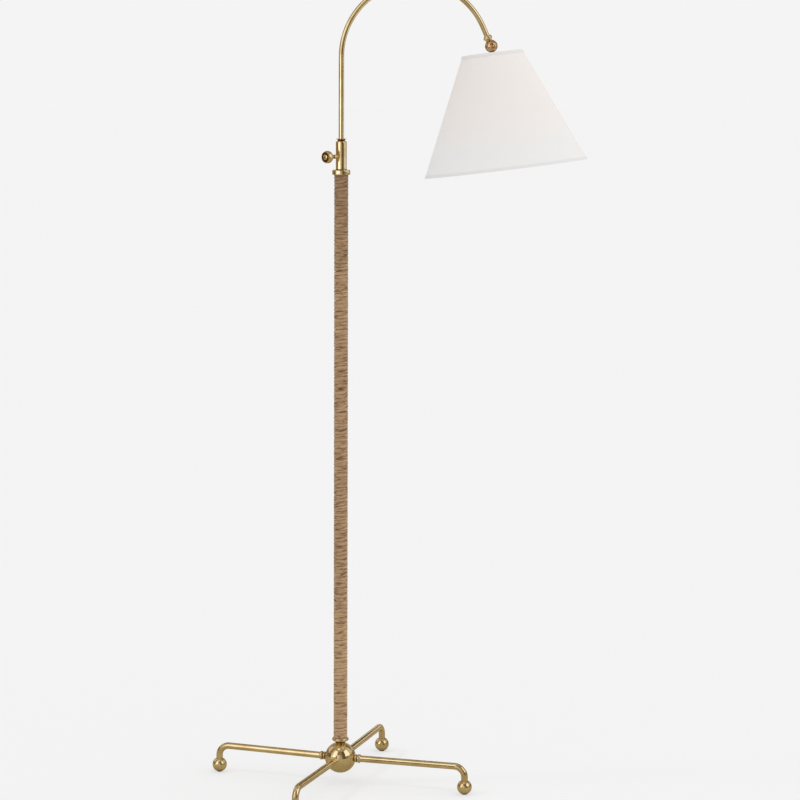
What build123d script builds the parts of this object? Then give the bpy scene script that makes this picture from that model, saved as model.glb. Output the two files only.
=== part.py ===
from build123d import *
import math
import os

os.makedirs("parts", exist_ok=True)

# Millimetres. The origin is on the floor under the column's axis, +Z is up, and +X is the way
# the arm reaches. The viewer of the lamp's front stands towards -Y.

# Fits and gaps that every piece shares, on the radius where the pieces are round
seat_gap = 0.04
run_gap = 0.06
body_gap = 0.35
lay_gap = 0.3
overrun = 5.0

# Hub ball and the legs' compass directions
base_turn_deg = -19.35
leg_turns_deg = {"right": 0, "back": 90, "left": 180, "front": 270}
hub_z = 49.0
hub_r = 27.7
hub_wall = 5.7
hub_cap_r = 9.0
bushing_bore_r = 3.6
bushing_barrel_r = 5.4
bushing_flange_r = 7.4
bushing_flange_h = 1.2
bushing_barrel_h = 8.2

# Leg sockets: spigot, neck, ring, groove and bead
socket_len = 14.1
socket_spigot_r = 5.0
socket_neck_r = 6.2
socket_ring_r = 7.5
socket_groove_r = 7.1
socket_bead_r = 8.2
socket_lip_r = 7.2
socket_entry = 10.0
socket_run_shares = {"neck": 0.27, "ring": 0.38, "groove": 0.5, "bead_start": 0.6, "bead": 0.8}

# Leg tubes, which rise a little from the hub to their bends
foot_reach = 250.0
leg_rise_deg = 0.9
leg_r = 6.35
leg_wall = 1.2
leg_bend_r = 20.0

# Ball feet, with the floor pad, screw and threaded plug of each
ball_r = 14.0
ball_flat_z = 1.0
ball_bore_z = 16.0
pad_r = 4.6
pad_recess = 0.8
foot_screw_r = 2.0
foot_screw_head_r = 3.9
foot_screw_head_h = 2.8
foot_screw_len = 18.0
foot_plug_len = 10.0

# Base cup between the hub and the column, as heights above the hub
cup_h = 14.5
cup_foot_r = 9.9
cup_neck_r = 8.9
cup_bowl_r = 13.6
cup_lip_r = 15.2
cup_seat_h = 5.7
cup_dish_h = 9.7
cup_rise_shares = {"foot": 0.06, "neck": 0.18, "bowl_start": 0.32, "bowl": 0.47, "lip": 0.74}

# Threaded nipple that clamps hub, cup and column, with its nut and washer
nipple_r = 4.0
nipple_bore_r = 2.9
nipple_spare = 2.0
base_nut_flats = 13.0
base_nut_h = 6.5
base_washer_r = 8.2
base_washer_h = 1.5
hub_spot_r = 8.6
column_plug_len = 25.0

# Column tube, and the rope wound round it
column_r = 6.5
column_wall = 1.0
column_lap = 22.0
rope_r = 3.2
rope_pitch = 6.9
rope_turns_each_end = 12

# Flange collar, clamp sleeve, its split collet and its flared cap. The flange's height above the
# floor sets the column's length, and everything over it rides on that height.
flange_z = 1171.0
flange_h = 8.6
flange_r = 17.0
flange_round_r = 1.0
sleeve_r = 10.3
sleeve_h = 53.4
sleeve_round_r = 0.9
shoulder_h = 2.0
shoulder_bore_gap = 0.3
collet_r = 7.6
collet_slit = 1.4
collet_slit_share = 0.7
cap_h = 4.8
cap_foot_r = 8.4
cap_waist_r = 6.8
cap_lip_r = 10.3
cap_lip_t = 0.6
cap_spigot_h = 2.0
cap_rise_shares = {"foot": 0.12, "waist": 0.35, "dish": 0.5}

# Thumb knob and its stud, as distances from the column's axis
thumb_rise = 25.4
thumb_turn_deg = 225
stud_r = 3.0
stud_end = 34.0
knob_neck_start = 12.2
knob_neck_end = 18.6
knob_neck_r = 3.9
knob_waist_at = 20.7
knob_waist_r = 3.4
knob_cone_end = 31.4
knob_cone_r = 10.2
knob_rim_r = 11.6
knob_face_at = 42.2
knob_face_r = 10.0
knob_ring_r = 8.4
knob_ring_depth = 2.4
knob_button_r = 5.2
knob_button_rise = 1.2

# Arm tube: a straight lower run, a part circle over the top and a short straight tail
arm_r = 5.0
arm_wall = 0.9
arc_r = 137.4
arc_rise = 158.0
arm_lean_deg = 24.0
arm_tail = 24.1
arm_raise = 170.0
glide_len = 20.0
glide_stop_gap = 0.5

# Knuckle collar at the arm's end, as distances along the tail
knuckle_start = 18.7
knuckle_len = 8.4
knuckle_r = 8.4
knuckle_edge_r = 6.5

# Slotted swivel ball, its stem in the arm, and its pivot screw. The ball stands turned on its stem,
# so the shade leans a little towards the viewer.
swivel_at = 39.5
swivel_turn_deg = -10.0
swivel_r = 11.75
swivel_neck_r = 5.8
swivel_slot = 5.3
swivel_slot_floor = 7.9
stem_r = 2.8
stem_bore_r = 1.8
stem_len = 5.7
stem_clip_r = 3.75
stem_clip_h = 1.1
pivot_r = 2.5
pivot_head_r = 4.0
pivot_head_h = 2.6
pivot_seat_y = 8.0
pivot_nut_flats = 7.0
pivot_nut_h = 2.8

# Lamp head. Distances run from the swivel ball's centre down the shade's axis.
shade_lean_deg = 6.95
tongue_t = 4.6
tongue_eye_r = 7.5
tongue_w = 9.0
boss_at = 12.25
boss_end = 18.0
boss_r = 8.0
head_nipple_at = 13.6
head_nipple_end = 33.0
head_nipple_r = 4.9
head_nipple_bore_r = 3.2
spider_hub_r = 13.0
spider_hub_t = 1.6
head_washer_r = 9.0
head_washer_t = 1.2
head_nut_flats = 14.0
head_nut_h = 4.4

# Conical shade with its two wire rings and rim tapes
shade_top_at = 12.9
shade_h = 216.0
shade_top_r = 56.25
shade_bottom_r = 152.5
shade_wall = 1.0
shade_wire_r = 1.6
top_wire_drop = 2.4
tape_w = 5.0
tape_t = 0.4
tape_glue_t = 0.2
spoke_count = 3

# Lamp socket
socket_cap_r = 19.3
socket_cap_wall = 0.9
socket_cap_top_r = 8.5
socket_cap_dome_h = 9.0
socket_cap_h = 17.0
socket_shell_r = 18.3
socket_shell_wall = 0.8
socket_shell_lap = 5.0
socket_shell_h = 43.0
socket_body_h = 13.0
screw_shell_r = 14.2
screw_shell_wall = 0.7
screw_shell_h = 25.0
contact_r = 3.0
contact_h = 2.0

# Bulb
bulb_cap_r = 13.2
bulb_cap_h = 24.0
bulb_tip_r = 4.6
bulb_tip_h = 1.0
bulb_r = 30.0
bulb_centre_rise = 52.0
bulb_glass_wall = 1.0

# Turn key of the socket's switch
key_stem_r = 1.6
key_stem_inner = 6.0
key_reach = 25.0
key_len = 11.0
key_w = 15.0
key_t = 3.4
key_round_r = 1.2
key_drop = 7.0


# Worked-out places
hub_in_r = hub_r - hub_wall
hub_bottom_z = hub_z - math.sqrt(hub_r**2 - hub_cap_r**2)
hub_top_z = hub_z + math.sqrt(hub_r**2 - cup_foot_r**2)
hub_spot_z = hub_z + math.sqrt(hub_in_r**2 - hub_spot_r**2)
socket_spot_r = socket_neck_r + lay_gap
socket_seat = math.sqrt(hub_r**2 - socket_spot_r**2)
leg_way = Vector(math.cos(math.radians(leg_rise_deg)), 0, math.sin(math.radians(leg_rise_deg)))
column_in_r = column_r - column_wall
column_foot_z = hub_top_z + cup_seat_h
rope_floor_z = hub_top_z + cup_dish_h
rope_lay_r = column_r + run_gap + rope_r
rope_out_r = rope_lay_r + rope_r
sleeve_z = flange_z + flange_h
sleeve_top_z = sleeve_z + sleeve_h
column_top_z = flange_z + column_lap
thumb_z = sleeve_z + thumb_rise
arc_z = sleeve_top_z + arc_rise
collet_floor_z = column_top_z + shoulder_h
collet_z = collet_floor_z + lay_gap
collet_top_z = sleeve_top_z - cap_spigot_h - lay_gap
collet_bore_r = collet_r + run_gap
arm_low_z = column_top_z - arm_raise - glide_stop_gap - glide_len
arm_lean = math.radians(arm_lean_deg)
arm_end = Vector(arc_r * (1 + math.cos(arm_lean)), 0, arc_z + arc_r * math.sin(arm_lean))
arm_way = Vector(math.sin(arm_lean), 0, -math.cos(arm_lean))
swivel_centre = arm_end + arm_way * swivel_at
swivel_axis = Axis((0, 0, 0), arm_way)
pivot_way = Vector(0, 1, 0).rotate(swivel_axis, swivel_turn_deg)
shade_lean = math.radians(shade_lean_deg)
shade_way = Vector(math.sin(shade_lean), 0, -math.cos(shade_lean)).rotate(swivel_axis, swivel_turn_deg)
shade_bottom_at = shade_top_at + shade_h
shade_slope = (shade_bottom_r - shade_top_r) / shade_h
shade_wall_across = shade_wall * math.hypot(1, shade_slope)
spider_at = boss_end
head_nut_at = spider_at + spider_hub_t + head_washer_t
socket_cap_at = head_nut_at + head_nut_h
socket_shell_at = socket_cap_at + socket_cap_h - socket_shell_lap
socket_body_at = socket_shell_at + socket_shell_wall
screw_shell_at = socket_body_at + socket_body_h
bulb_cap_at = screw_shell_at + contact_h + bulb_tip_h


def line(*points):
    """Straight runs through (radius, height) points."""
    return Polyline(*[(r, 0, z) for r, z in points])


def bow(start, crest, end):
    """Arc from start over crest to end, each a (radius, height) point."""
    return ThreePointArc(*[(r, 0, z) for r, z in (start, crest, end)])


def dome(edge, crown_z):
    """Bow from an edge point to the crown on the axis, its centre on the axis too."""
    edge_r, edge_z = edge
    rise = crown_z - edge_z
    radius = (edge_r**2 + rise**2) / (2 * rise)
    half_way = math.asin(edge_r / abs(radius)) / 2
    crest_z = crown_z - radius * (1 - math.cos(half_way))
    return bow(edge, (abs(radius) * math.sin(half_way), crest_z), (0, crown_z))


def turned(*runs):
    """Solid turned about Z from a closed outline of lines and bows."""
    return revolve(make_face([edge for run in runs for edge in run.edges()]), Axis.Z)


def rod(radius, low, high):
    """Cylinder about Z from low to high."""
    return Pos(0, 0, low) * Cylinder(radius, high - low, align=(Align.CENTER, Align.CENTER, Align.MIN))


def pipe(outer, inner, low, high):
    """Round tube about Z from low to high."""
    return rod(outer, low, high) - rod(inner, low - overrun, high + overrun)


def hexagon(flats, low, high):
    """Hexagonal bar about Z, flats wide."""
    return extrude(Pos(0, 0, low) * RegularPolygon(flats / 2, 6, major_radius=False), high - low)


def along(origin, way, side=Vector(0, 1, 0)):
    """Place for what is built along +Z: it then runs from origin along way, and its Y goes to side."""
    return Plane(origin=origin, x_dir=side.cross(way), z_dir=way).location


def across_y(shape):
    """Turns what is built along +Z so that it runs along +Y."""
    return Rot(-90, 0, 0) * shape


# Floor stand

def leg_place(turn):
    """Place of a leg's socket: built along +Z from the hub's centre outwards."""
    return Rot(0, 0, base_turn_deg + turn) * Pos(0, 0, hub_z) * Rot(0, 90 - leg_rise_deg, 0)


def make_hub():
    ball = Sphere(hub_r) - Sphere(hub_in_r)
    hub = Pos(0, 0, hub_z) * ball
    hub -= rod(hub_r, hub_top_z, hub_top_z + hub_r)
    hub -= rod(hub_r, hub_bottom_z - hub_r, hub_bottom_z)
    hub -= rod(nipple_r + seat_gap, hub_z, hub_top_z + overrun)
    hub -= rod(hub_spot_r, hub_z, hub_spot_z)
    hub -= rod(hub_cap_r, hub_bottom_z - overrun, hub_z)
    drill = rod(socket_spigot_r + seat_gap, 0, hub_r + overrun)
    drill += rod(socket_spot_r, socket_seat, hub_r + overrun)
    for turn in leg_turns_deg.values():
        hub -= leg_place(turn) * drill
    return hub


def make_hub_cap():
    inner_z = hub_z - math.sqrt(hub_in_r**2 - hub_cap_r**2)
    return pipe(hub_cap_r - seat_gap, bushing_barrel_r + seat_gap, hub_bottom_z, inner_z)


def make_cord_bushing():
    low = hub_bottom_z - bushing_flange_h
    high = hub_bottom_z + bushing_barrel_h
    bushing = rod(bushing_barrel_r, low, high) + rod(bushing_flange_r, low, hub_bottom_z)
    return bushing - rod(bushing_bore_r, low - overrun, high + overrun)


def make_leg_socket():
    """Turned socket along +Z, its seat on the hub at height 0."""
    at = {name: share * socket_len for name, share in socket_run_shares.items()}
    bore_r = leg_r + seat_gap
    bore_at = socket_len - socket_entry
    inner = -hub_wall
    return turned(
        line((0, bore_at), (0, inner), (socket_spigot_r, inner), (socket_spigot_r, 0), (socket_neck_r, 0),
             (socket_neck_r, at["neck"])),
        bow((socket_neck_r, at["neck"]), (socket_ring_r, at["ring"]), (socket_groove_r, at["groove"])),
        line((socket_groove_r, at["groove"]), (socket_groove_r, at["bead_start"])),
        bow((socket_groove_r, at["bead_start"]), (socket_bead_r, at["bead"]), (socket_lip_r, socket_len)),
        line((socket_lip_r, socket_len), (bore_r, socket_len), (bore_r, bore_at), (0, bore_at)),
    )


def make_leg():
    """Bent leg tube in the XZ plane, from its socket out and down into its ball foot."""
    centre = Vector(0, 0, hub_z)
    start = centre + leg_way * (socket_seat + socket_len - socket_entry)
    corner = centre + leg_way * (foot_reach / leg_way.X)
    end = (foot_reach, 0, ball_bore_z)
    path = FilletPolyline(start, corner, end, radius=leg_bend_r)
    section = Circle(leg_r) - Circle(leg_r - leg_wall)
    return sweep(Plane(origin=start, z_dir=leg_way) * section, path=path)


def make_ball_foot():
    """Ball foot about its own vertical axis."""
    counterbore_top = ball_flat_z + pad_recess + lay_gap + foot_screw_head_h
    foot = Pos(0, 0, ball_r) * Sphere(ball_r)
    foot -= rod(ball_r, ball_flat_z - ball_r, ball_flat_z)
    foot -= rod(pad_r + seat_gap, 0, ball_flat_z + pad_recess)
    foot -= rod(foot_screw_head_r + seat_gap, 0, counterbore_top)
    foot -= rod(foot_screw_r + seat_gap, 0, ball_bore_z + overrun)
    return foot - rod(leg_r + seat_gap, ball_bore_z, ball_r * 2 + overrun)


def make_foot_pad():
    return rod(pad_r, 0, ball_flat_z + pad_recess)


def make_foot_screw():
    head_low = ball_flat_z + pad_recess + lay_gap
    head_top = head_low + foot_screw_head_h
    return rod(foot_screw_head_r, head_low, head_top) + rod(foot_screw_r, head_low, head_top + foot_screw_len)


def make_foot_plug():
    return pipe(leg_r - leg_wall - seat_gap, foot_screw_r + seat_gap, ball_bore_z, ball_bore_z + foot_plug_len)


def at_feet(shape):
    """One copy of a foot piece under each leg, by the leg's name."""
    copies = {}
    for name, turn in leg_turns_deg.items():
        copies[name] = Rot(0, 0, base_turn_deg + turn) * Pos(foot_reach, 0, 0) * shape
    return copies


def make_base_nipple():
    low = hub_spot_z - base_washer_h - base_nut_h - nipple_spare
    return pipe(nipple_r, nipple_bore_r, low, column_foot_z + column_plug_len - nipple_spare)


def make_base_washer():
    return pipe(base_washer_r, nipple_r + seat_gap, hub_spot_z - base_washer_h, hub_spot_z)


def make_base_nut():
    top = hub_spot_z - base_washer_h
    nut = hexagon(base_nut_flats, top - base_nut_h, top)
    return nut - rod(nipple_r + seat_gap, top - base_nut_h - overrun, top + overrun)


# Column

def make_base_cup():
    at = {name: hub_top_z + share * cup_h for name, share in cup_rise_shares.items()}
    top = hub_top_z + cup_h
    bore_r = nipple_r + seat_gap
    tube_r = column_r + seat_gap
    dish_r = rope_out_r + lay_gap
    return turned(
        line((bore_r, column_foot_z), (bore_r, hub_top_z), (cup_foot_r, hub_top_z), (cup_foot_r, at["foot"])),
        bow((cup_foot_r, at["foot"]), (cup_neck_r, at["neck"]), (cup_foot_r, at["bowl_start"])),
        line((cup_foot_r, at["bowl_start"]), (cup_bowl_r, at["bowl"])),
        bow((cup_bowl_r, at["bowl"]), (cup_lip_r, at["lip"]), (dish_r, top)),
        line((dish_r, top), (dish_r, rope_floor_z), (tube_r, rope_floor_z), (tube_r, column_foot_z),
             (bore_r, column_foot_z)),
    )


def make_column_plug():
    return pipe(column_in_r - seat_gap, nipple_r + seat_gap, column_foot_z, column_foot_z + column_plug_len)


def make_column_tube():
    return pipe(column_r, column_in_r, column_foot_z, column_top_z)


def helix_point(low, quarters):
    """Point of the rope's centreline, quarters of a turn after it starts at height low."""
    angle = quarters * math.pi / 2
    return Vector(rope_lay_r * math.cos(angle), rope_lay_r * math.sin(angle), low + quarters * rope_pitch / 4)


def helix_way(quarters):
    """Direction of the rope's centreline there."""
    angle = quarters * math.pi / 2
    climb = rope_pitch / (2 * math.pi)
    return Vector(-rope_lay_r * math.sin(angle), rope_lay_r * math.cos(angle), climb).normalized()


def biarc(start, start_way, end, end_way):
    """Two arcs that leave start and reach end in the given directions and meet smoothly."""
    span = end - start
    both = start_way + end_way
    spread = 2 * (1 - start_way.dot(end_way))
    reach = (math.sqrt(span.dot(both)**2 + spread * span.dot(span)) - span.dot(both)) / spread
    from_start = start + start_way * reach
    to_end = end - end_way * reach
    joint = (from_start + to_end) * 0.5
    return [TangentArc(start, joint, tangent=start_way), TangentArc(joint, end, tangent=to_end - from_start)]


def make_rope_turns(low):
    """One unbroken length of rope wound round the column tube, its lowest side at height low."""
    centre_low = low + rope_r
    arcs = []
    for quarter in range(4 * rope_turns_each_end):
        arcs += biarc(helix_point(centre_low, quarter), helix_way(quarter),
                      helix_point(centre_low, quarter + 1), helix_way(quarter + 1))
    section = Plane(origin=helix_point(centre_low, 0), z_dir=helix_way(0)) * Circle(rope_r)
    return sweep(section, path=Wire(arcs))


def least_rope_gap():
    """Least gap between the rope and itself, on points along two turns."""
    steps = 48
    first = helix_point(0, 0)
    later = [helix_point(0, 4 * step / steps) for step in range(steps // 2, 2 * steps)]
    return min((point - first).length for point in later) - 2 * rope_r


def make_rope():
    """Rope turns at both ends of the column, and the plain core that stands for those between."""
    wound_h = rope_turns_each_end * rope_pitch + 2 * rope_r
    low_start = rope_floor_z + lay_gap
    high_start = flange_z - lay_gap - wound_h
    turns = [make_rope_turns(low_start), make_rope_turns(high_start)]
    core = pipe(rope_out_r, column_r + seat_gap, low_start + wound_h + lay_gap, high_start - lay_gap)
    return turns, core


def make_flange():
    flange = pipe(flange_r, column_r + seat_gap, flange_z, sleeve_z)
    rims = flange.edges().filter_by(GeomType.CIRCLE).sort_by(SortBy.RADIUS)[-2:]
    return fillet(rims, flange_round_r)


def thumb_place():
    """Place of the thumb screw: built along +Z from the column's axis outwards."""
    angle = math.radians(thumb_turn_deg)
    way = Vector(math.cos(angle), math.sin(angle), 0)
    return Plane(origin=(0, 0, thumb_z), x_dir=(0, 0, 1), z_dir=way).location


def make_sleeve():
    sleeve = rod(sleeve_r, sleeve_z, sleeve_top_z)
    top_rim = sleeve.edges().filter_by(GeomType.CIRCLE).sort_by(Axis.Z)[-1]
    sleeve = fillet(top_rim, sleeve_round_r)
    sleeve -= rod(column_r + seat_gap, sleeve_z - overrun, column_top_z)
    sleeve -= rod(arm_r + shoulder_bore_gap, sleeve_z, sleeve_top_z)
    sleeve -= rod(collet_bore_r, collet_floor_z, sleeve_top_z + overrun)
    return sleeve - thumb_place() * rod(stud_r + run_gap, 0, sleeve_r + overrun)


def make_collet():
    """Split collet that grips the arm, slit from the top on the side away from the thumb screw."""
    height = collet_top_z - collet_z
    collet = pipe(collet_r, arm_r + run_gap, collet_z, collet_top_z)
    slit = Box(collet_r + overrun, collet_slit, height, align=(Align.MIN, Align.CENTER, Align.MIN))
    low = collet_top_z - collet_slit_share * height
    return collet - Rot(0, 0, thumb_turn_deg - 180) * Pos(0, 0, low) * slit


def make_sleeve_cap():
    """Flared cap that closes the sleeve over the collet."""
    at = {name: sleeve_top_z + share * cap_h for name, share in cap_rise_shares.items()}
    top = sleeve_top_z + cap_h
    spigot_z = sleeve_top_z - cap_spigot_h
    spigot_r = collet_bore_r - seat_gap
    bore_r = arm_r + body_gap
    return turned(
        line((bore_r, at["dish"]), (bore_r, spigot_z), (spigot_r, spigot_z), (spigot_r, sleeve_top_z),
             (cap_foot_r, sleeve_top_z), (cap_foot_r, at["foot"]), (cap_waist_r, at["waist"]),
             (cap_lip_r, top), (cap_lip_r - cap_lip_t, top), (cap_waist_r, at["dish"]), (bore_r, at["dish"])),
    )


# Thumb screw

def make_thumb_stud():
    return thumb_place() * rod(stud_r, collet_r + lay_gap, stud_end)


def make_thumb_knob():
    """Turned knob: neck, waist, cone, rounded rim, and a face with a ring groove and a button."""
    bore_r = stud_r + seat_gap
    button_edge = knob_face_at - knob_ring_depth
    knob = turned(
        line((bore_r, stud_end), (bore_r, knob_neck_start), (knob_neck_r, knob_neck_start),
             (knob_neck_r, knob_neck_end), (knob_waist_r, knob_waist_at), (knob_cone_r, knob_cone_end)),
        bow((knob_cone_r, knob_cone_end), (knob_rim_r, (knob_cone_end + knob_face_at) / 2),
            (knob_face_r, knob_face_at)),
        line((knob_face_r, knob_face_at), (knob_ring_r, knob_face_at)),
        bow((knob_ring_r, knob_face_at), ((knob_ring_r + knob_button_r) / 2, button_edge),
            (knob_button_r, knob_face_at)),
        dome((knob_button_r, knob_face_at), knob_face_at + knob_button_rise),
        line((0, knob_face_at + knob_button_rise), (0, stud_end), (bore_r, stud_end)),
    )
    return thumb_place() * knob


# Arm

def make_arm_tube():
    middle = (math.pi + arm_lean) / 2
    start = (0, 0, arm_low_z)
    spring = (0, 0, arc_z)
    crown = (arc_r * (1 + math.cos(middle)), 0, arc_z + arc_r * math.sin(middle))
    path = Wire([Line(start, spring), ThreePointArc(spring, crown, arm_end),
                 Line(arm_end, arm_end + arm_way * arm_tail)])
    section = Circle(arm_r) - Circle(arm_r - arm_wall)
    return sweep(Pos(*start) * section, path=path)


def make_arm_glide():
    return pipe(column_in_r - run_gap, arm_r + seat_gap, arm_low_z, arm_low_z + glide_len)


def make_knuckle_collar():
    """Beaded collar on the arm's end, with a web that carries the swivel's stem."""
    end = knuckle_start + knuckle_len
    bore_r = arm_r + seat_gap
    web_bore_r = stem_r + run_gap
    collar = turned(
        line((bore_r, arm_tail), (bore_r, knuckle_start), (knuckle_edge_r, knuckle_start)),
        bow((knuckle_edge_r, knuckle_start), (knuckle_r, (knuckle_start + end) / 2), (knuckle_edge_r, end)),
        line((knuckle_edge_r, end), (web_bore_r, end), (web_bore_r, arm_tail), (bore_r, arm_tail)),
    )
    return along(arm_end, arm_way) * collar


# Swivel

def in_swivel(shape):
    """Moves what is built round the ball's centre, its stem along -Z and its pivot along Y, into place."""
    return along(swivel_centre, arm_way, pivot_way) * shape


def make_swivel_ball():
    """Ball on a short neck and hollow stem, slotted from below for the tongue."""
    neck_top = knuckle_start + knuckle_len + body_gap - swivel_at
    stem_top = neck_top - stem_len
    ball = Sphere(swivel_r) + rod(swivel_neck_r, neck_top, 0) + rod(stem_r, stem_top, 0)
    ball -= rod(stem_bore_r, stem_top - overrun, 0)
    slot = Box(2 * swivel_r + overrun, swivel_slot, swivel_slot_floor + swivel_r + overrun,
               align=(Align.CENTER, Align.CENTER, Align.MIN))
    ball -= Pos(0, 0, -swivel_slot_floor) * slot
    ball -= across_y(rod(pivot_r + seat_gap, -swivel_r, swivel_r))
    ball -= across_y(rod(pivot_head_r + lay_gap, pivot_seat_y, swivel_r + overrun))
    ball -= across_y(rod(pivot_head_r + lay_gap, -swivel_r - overrun, -pivot_seat_y))
    return in_swivel(ball)


def make_stem_clip():
    low = arm_tail - lay_gap - stem_clip_h
    return along(arm_end, arm_way) * pipe(stem_clip_r, stem_r + seat_gap, low, low + stem_clip_h)


def make_pivot_screw():
    """Pivot screw, its domed head towards the viewer."""
    head_end = -pivot_seat_y - pivot_head_h
    head_edge = (pivot_head_r, -pivot_seat_y - pivot_head_h / 3)
    shank_end = pivot_seat_y + pivot_nut_h
    screw = turned(
        line((0, shank_end), (pivot_r, shank_end), (pivot_r, -pivot_seat_y), (pivot_head_r, -pivot_seat_y),
             head_edge),
        dome(head_edge, head_end),
        line((0, head_end), (0, shank_end)),
    )
    return in_swivel(across_y(screw))


def make_pivot_nut():
    end = pivot_seat_y + pivot_nut_h
    nut = hexagon(pivot_nut_flats, pivot_seat_y, end) - rod(pivot_r + seat_gap, 0, end + overrun)
    return in_swivel(across_y(nut))


# Lamp head

def in_head(shape):
    """Moves what is built along +Z from the swivel ball's centre onto the shade's axis."""
    return along(swivel_centre, shade_way, pivot_way) * shape


def make_tongue():
    tongue = across_y(rod(tongue_eye_r, -tongue_t / 2, tongue_t / 2))
    tongue += Box(tongue_w, tongue_t, boss_end, align=(Align.CENTER, Align.CENTER, Align.MIN))
    tongue += rod(boss_r, boss_at, boss_end)
    tongue -= across_y(rod(pivot_r + run_gap, -tongue_t, tongue_t))
    return in_head(tongue - rod(head_nipple_r + seat_gap, head_nipple_at, boss_end + overrun))


def make_head_nipple():
    return in_head(pipe(head_nipple_r, head_nipple_bore_r, head_nipple_at, head_nipple_end))


def wire_ring_r(at):
    """Radius of a wire ring that just touches the shade's inner wall, at a distance down the axis."""
    inner_wall = shade_top_r + (at - shade_top_at) * shade_slope - shade_wall_across
    return inner_wall - (shade_wire_r + seat_gap) * math.hypot(1, shade_slope)


def make_shade_spider():
    """Upper wire ring, three spokes and the washer that the head's nut clamps."""
    ring_at = shade_top_at + top_wire_drop
    ring_r = wire_ring_r(ring_at)
    hub_at = spider_at + spider_hub_t / 2
    start = Vector(head_nipple_r + 2 * shade_wire_r, 0, hub_at)
    end = Vector(ring_r, 0, ring_at)
    spoke = along(start, (end - start).normalized()) * rod(shade_wire_r, 0, (end - start).length)
    spider = Pos(0, 0, ring_at) * Torus(ring_r, shade_wire_r)
    for spoke_index in range(spoke_count):
        spider += Rot(0, 0, 360 * spoke_index / spoke_count) * spoke
    spider -= rod(spider_hub_r, spider_at - overrun, spider_at)
    spider -= rod(spider_hub_r, spider_at + spider_hub_t, spider_at + overrun)
    spider += rod(spider_hub_r, spider_at, spider_at + spider_hub_t)
    return in_head(spider - rod(head_nipple_r + seat_gap, 0, spider_at + overrun))


def make_lower_ring():
    ring_at = shade_bottom_at - top_wire_drop
    return in_head(Pos(0, 0, ring_at) * Torus(wire_ring_r(ring_at), shade_wire_r))


def make_shade_skin():
    return in_head(turned(
        line((shade_top_r - shade_wall_across, shade_top_at), (shade_top_r, shade_top_at),
             (shade_bottom_r, shade_bottom_at), (shade_bottom_r - shade_wall_across, shade_bottom_at),
             (shade_top_r - shade_wall_across, shade_top_at))))


def make_rim_tape(edge_r, edge_at, down):
    """Tape folded over a rim: down is 1 for the upper rim and -1 for the lower."""
    inner_r = edge_r - shade_wall_across
    side_r = edge_r + tape_glue_t
    far_r = side_r + down * tape_w * shade_slope
    far_at = edge_at + down * tape_w
    return in_head(turned(
        line((inner_r, edge_at), (inner_r, edge_at - down * tape_t), (side_r + tape_t, edge_at - down * tape_t),
             (far_r + tape_t, far_at), (far_r, far_at), (side_r, edge_at), (inner_r, edge_at))))


def make_head_washer():
    at = spider_at + spider_hub_t
    return in_head(pipe(head_washer_r, head_nipple_r + seat_gap, at, at + head_washer_t))


def make_head_nut():
    nut = hexagon(head_nut_flats, head_nut_at, head_nut_at + head_nut_h)
    return in_head(nut - rod(head_nipple_r + seat_gap, head_nut_at - overrun, head_nut_at + overrun + head_nut_h))


# Socket, bulb and switch

def cap_outline_runs(inset, top, bottom):
    """Outer or inner side of the socket cap, inset from the outside."""
    rim_r = socket_cap_r - inset
    top_r = socket_cap_top_r - inset
    dome_end = socket_cap_at + socket_cap_dome_h
    crest_r = top_r + (rim_r - top_r) * math.sin(math.pi / 4)
    crest = dome_end - (dome_end - top) * math.sin(math.pi / 4)
    return [bow((top_r, top), (crest_r, crest), (rim_r, dome_end)), line((rim_r, dome_end), (rim_r, bottom))]


def make_socket_cap():
    """Domed cap with a threaded hole for the head nipple."""
    bottom = socket_cap_at + socket_cap_h
    bore_r = head_nipple_r + seat_gap
    outside = cap_outline_runs(0, socket_cap_at, bottom)
    inner_top = socket_cap_at + socket_cap_wall
    inside = cap_outline_runs(socket_cap_wall, inner_top, bottom)
    return in_head(turned(
        line((bore_r, inner_top), (bore_r, socket_cap_at), (socket_cap_top_r, socket_cap_at)),
        *outside,
        line((socket_cap_r, bottom), (socket_cap_r - socket_cap_wall, bottom)),
        *inside,
        line((socket_cap_top_r - socket_cap_wall, inner_top), (bore_r, inner_top))))


def key_place():
    """Place of the switch key: built along +Z from the socket's axis towards the viewer."""
    return Pos(0, 0, socket_body_at + key_drop) * Rot(90, 0, 0)


def make_socket_shell():
    end = socket_shell_at + socket_shell_h
    shell = pipe(socket_shell_r, socket_shell_r - socket_shell_wall, socket_shell_at, end)
    return in_head(shell - key_place() * rod(key_stem_r + body_gap, 0, socket_shell_r + overrun))


def make_socket_body():
    """Insulating body in the shell, with the centre contact's post below and the switch stem's bore."""
    body = rod(socket_shell_r - socket_shell_wall - seat_gap, socket_body_at, screw_shell_at)
    body += rod(contact_r, screw_shell_at, screw_shell_at + contact_h)
    bore = rod(key_stem_r + run_gap, key_stem_inner - lay_gap, socket_shell_r)
    return in_head(body - key_place() * bore)


def make_screw_shell():
    end = screw_shell_at + screw_shell_h
    return in_head(pipe(screw_shell_r, screw_shell_r - screw_shell_wall, screw_shell_at, end))


def make_bulb_base():
    tip = rod(bulb_tip_r, bulb_cap_at - bulb_tip_h, bulb_cap_at)
    return in_head(tip + rod(bulb_cap_r, bulb_cap_at, bulb_cap_at + bulb_cap_h))


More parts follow.
